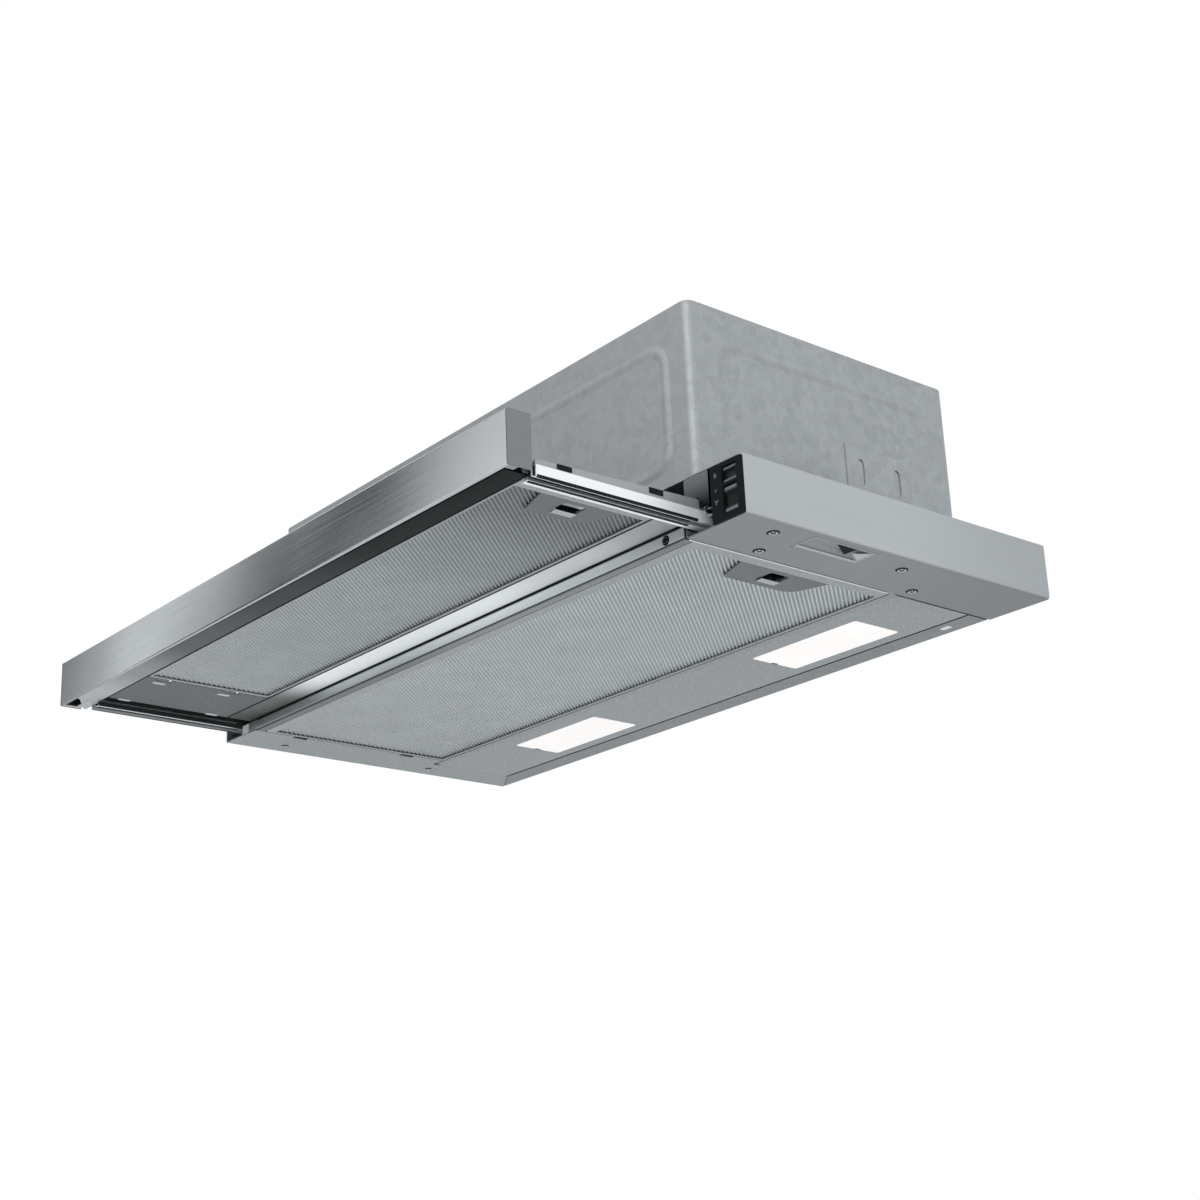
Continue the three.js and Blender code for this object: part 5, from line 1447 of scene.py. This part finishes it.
@dataclass
class WindowTrim(Assembly):
    """A dark pocket painting the shade in the recessed window, a light sill, and a light facet painting a lit
    face.
    """

    pocket: tuple = ((-190, 287.6), (-173.5, 291.6), (-174.5, 278.0))  # corners, y and x in mm
    facet: tuple = ((-160.6, 292.4), (-160.6, 277.0), (-173.5, 284.0))
    sill: tuple = (0.1 * MM, 3.2 * MM)
    sill_inset: float = 1 * MM
    rise: float = 0.9 * MM  # of the sill and of the facet
    pocket_rise: float = 2.2 * MM
    heights: tuple = (0.3 * MM, 0.5 * MM, 0.4 * MM)  # of the pocket, the sill and the facet
    crown: float = 0.05 * MM

    def build(self) -> None:
        """Builds the pocket and the facet as three-cornered plates, and the sill as a strip."""
        (low, high), (pocket, sill, facet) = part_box("window_tray"), self.heights
        place = (0, 0, low.z + self.pocket_rise)
        shape = plate(np.array(self.pocket) * MM, place, DOWN, pocket, self.crown)
        self.shop.make("window_pocket", shape, SHADOW_GAP, "canopy", "dark_steel")
        x, rise = tuple(low.x + edge for edge in self.sill), low.z + self.rise
        y = (low.y + self.sill_inset, high.y - self.sill_inset)
        self.strip("window_sill", x, y, rise, sill, look=PALE_PLASTIC, slot="pale_plastic")
        shape = plate(np.array(self.facet) * MM, (0, 0, rise), DOWN, facet, self.crown)
        self.shop.make("window_facet", shape, PALE_PLASTIC, "canopy", "pale_plastic")


@dataclass
class LampTrim(Assembly):
    """A small finger notch at the left end of each lamp cover."""

    notch: tuple = (1.2 * MM, 3.4 * MM)
    half: float = 3 * MM
    height: float = 0.12 * MM

    def build(self) -> None:
        """Builds both notches."""
        for side, _ in SIDES:
            low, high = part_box("lamp_lens_" + side)
            x, y = tuple(low.x + edge for edge in self.notch), around((low.y + high.y) / 2, self.half)
            finish = {"look": GREY_PLASTIC, "slot": "grey_plastic"}
            self.strip("lamp_notch_" + side, x, y, low.z, self.height, **finish)


@dataclass
class HousingPressings(Assembly):
    """Stiffening beads on the upper housing's walls, and the screws along its flange."""

    flange: float = 9 * MM
    sheet: float = 1 * MM
    bead_size: tuple = (9 * MM, 1.1 * MM)  # width and height
    inset: float = 24 * MM
    radius: float = 14 * MM
    screws: int = 5  # along the front, and as many along the rear
    screw_inset: float = 20 * MM
    screw_size: tuple = (2.4 * MM, 1.3 * MM)  # radius and height

    def build(self) -> None:
        """Builds a bead on each of the four walls, and the screws along the flange."""
        low, high = (np.array(tuple(corner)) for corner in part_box("motor_housing"))
        front, rear = low[1] + self.flange / 2, high[1] - self.flange / 2
        low[:2] += self.flange
        high[:2] -= self.flange
        size = high - low
        for side, axis, sign in (("front", 1, -1), ("rear", 1, 1), ("left", 0, -1), ("right", 0, 1)):
            normal, centre = np.zeros(3), (low + high) / 2
            normal[axis], centre[axis] = sign, (low if sign < 0 else high)[axis]
            wide, tall = size[1 - axis] - 2 * self.inset, size[2] - 2 * self.inset
            shape = bead(rounded(wide, tall, self.radius, 8), centre, normal, *self.bead_size)
            self.shop.make("housing_bead_" + side, shape, ZINC_SHEET, "canopy", "galvanised")
        row = np.linspace(low[0] + self.screw_inset, high[0] - self.screw_inset, self.screws)
        for side, y in (("front", front), ("rear", rear)):
            for i, x in enumerate(row):
                head = screw_head((x, y, low[2] + self.sheet), UP, *self.screw_size)
                name = f"flange_screw_{side}_{i + 1}"
                self.shop.mark(self.shop.make(name, head, SCREW_METAL, "canopy", "bright_steel"))


# ---------------------------------------------------------------- stage
@dataclass
class Studio:
    """Camera, lights, floor and background."""

    camera_place: tuple = (1.05956, -1.04979, -0.46454)
    camera_turn: tuple = (108.8543, 1.6350, 52.2969)  # in degrees
    focal_length: float = 59.6586  # in millimetres, as the sensor's width
    sensor: float = 36.0
    shift: tuple = (0.0689, 0.0137)
    sight: tuple = (0.01, 60.0)  # nearest and farthest that the camera sees
    lamps: tuple = (  # each a name, a place, a width and a power in watts
        ("key", (1.3, -2.3, 2.2), 2.4, 22),
        ("fill", (-2.6, 0.9, 1.9), 2.4, 16),
        ("low", (0.9, -1.2, -0.75), 0.8, 5),
    )
    target: tuple = (0.0, -0.2, 0.0)
    world_level: float = 0.8
    floor_drop: float = 1.3
    floor_width: float = 18.0
    floor_paint: Painted = Painted("floor_paint", (0.8, 0.83), 0.8, 1.5)
    flags: tuple = ((-0.02, 0.38), (0.56, 0.2))  # how far each is moved sideways, and its width
    flag_place: tuple = (-1.907, -1.672, 0.867)
    flag_facing: tuple = (0.79, 0.499, -0.355)
    flag_height: float = 3.2
    flag_cloth: tuple = ((0.01, 0.02), 0.9, 6.0)  # its finish, less the name

    def build(self) -> None:
        """Sets up the view and the light."""
        self.camera()
        self.world()
        side, rise = (self.floor_width, 0, 0), (0, self.floor_width, 0)
        self.board("floor", (0, 0, -self.floor_drop), side, rise, (9, 9), self.floor_paint)
        for lamp in self.lamps:
            self.lamp(*lamp)
        self.dark_boards()
        bpy.context.scene.view_settings.view_transform = "Standard"

    def camera(self) -> None:
        """Puts the camera where the photograph was taken from."""
        data = bpy.data.cameras.new("camera")
        data.sensor_width = self.sensor
        data.lens = self.focal_length
        data.shift_x, data.shift_y = self.shift
        data.clip_start, data.clip_end = self.sight
        camera = bpy.data.objects.new("camera", data)
        camera.location = self.camera_place
        camera.rotation_euler = Euler([math.radians(a) for a in self.camera_turn], "XYZ")
        bpy.context.scene.collection.objects.link(camera)
        bpy.context.scene.camera = camera

    def world(self) -> None:
        """White behind the object and in its reflections, softer for plain light."""
        world = bpy.data.worlds.new("room")
        bpy.context.scene.world = world
        world.use_nodes = True
        tree = world.node_tree
        light = tree.nodes["Background"]
        light.inputs["Color"].default_value = (1.0, 1.0, 1.0, 1.0)
        path = tree.nodes.new("ShaderNodeLightPath")
        most = path.outputs["Is Camera Ray"]
        for name in ("Is Glossy Ray", "Is Transmission Ray"):
            larger = tree.nodes.new("ShaderNodeMath")
            larger.operation = "MAXIMUM"
            tree.links.new(most, larger.inputs[0])
            tree.links.new(path.outputs[name], larger.inputs[1])
            most = larger.outputs[0]
        level = tree.nodes.new("ShaderNodeMapRange")
        level.inputs["To Min"].default_value = self.world_level
        tree.links.new(most, level.inputs["Value"])
        tree.links.new(level.outputs["Result"], light.inputs["Strength"])

    def board(
        self, name: str, centre: tuple, side: tuple, rise: tuple, counts: tuple, look: Painted
    ) -> bpy.types.Object:
        """Adds a flat rectangle to the stage: its centre plus shares of a side and of a rise.

        Args:
            name: its name.
            centre: its middle.
            side: its width as a vector.
            rise: its length as a vector.
            counts: rows of vertices both ways.
            look: its finish.

        Returns:
            The new object.
        """
        u, v = np.meshgrid(*(np.linspace(-0.5, 0.5, count) for count in counts), indexing="ij")
        vertices = np.array(centre) + u[..., None] * np.array(side) + v[..., None] * np.array(rise)
        mesh = bpy.data.meshes.new(name)
        mesh.from_pydata(vertices.reshape(-1, 3).tolist(), [], grid_faces(*counts).tolist())
        board = bpy.data.objects.new(name, mesh)
        bpy.context.scene.collection.objects.link(board)
        board.data.materials.append(look.material())
        return board

    def dark_boards(self) -> None:
        """Dark boards out of view, which the front bar mirrors as soft dark bands."""
        across = np.cross(UP, self.flag_facing)
        across /= np.linalg.norm(across)
        for i, (shift, width) in enumerate(self.flags):
            name, centre = f"flag_{i + 1}", np.array(self.flag_place) + across * shift
            cloth = Painted(name + "_cloth", *self.flag_cloth)
            flag = self.board(name, centre, across * width, (0, 0, self.flag_height), (5, 9), cloth)
            flag.visible_camera = flag.visible_diffuse = flag.visible_shadow = False

    def lamp(self, name: str, place: tuple, size: float, power: float) -> None:
        """Adds a square soft lamp that faces the hood.

        Args:
            name: its name.
            place: its middle.
            size: its width.
            power: its power in watts.
        """
        data = bpy.data.lights.new(name, "AREA")
        data.size, data.energy = size, power
        lamp = bpy.data.objects.new(name, data)
        lamp.location = place
        lamp.rotation_euler = (Vector(self.target) - Vector(place)).to_track_quat("-Z", "Y").to_euler()
        bpy.context.scene.collection.objects.link(lamp)


def dress_nodes(shop: Workshop) -> None:
    """Gives every carried-over solid its finish and softened edges.

    Args:
        shop: the workshop.
    """
    for look, names in NODE_FINISHES.items():
        for name in names:
            shop.dress(NODES[name], look)
            shop.soften(NODES[name])
            log.info("%s: %s", name, look.name)


def main() -> None:
    """Builds the scene in order."""
    logging.basicConfig(level=logging.INFO, format="%(message)s")
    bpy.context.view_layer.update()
    Studio().build()
    shop = Workshop()
    dress_nodes(shop)
    GreaseFilter(shop, "main_filter", MAIN_MESH).build()
    GreaseFilter(shop, "drawer_filter", DRAWER_MESH).build()
    Screws(shop).build()
    Rocker(shop, "fan_rocker", "fan_switch").build()
    Rocker(shop, "light_rocker", "light_switch").build()
    for part in (Signs, RailTrim, EdgeTrim, BarEnd, WindowTrim, LampTrim, HousingPressings):
        part(shop).build()


if __name__ == "__main__":
    main()
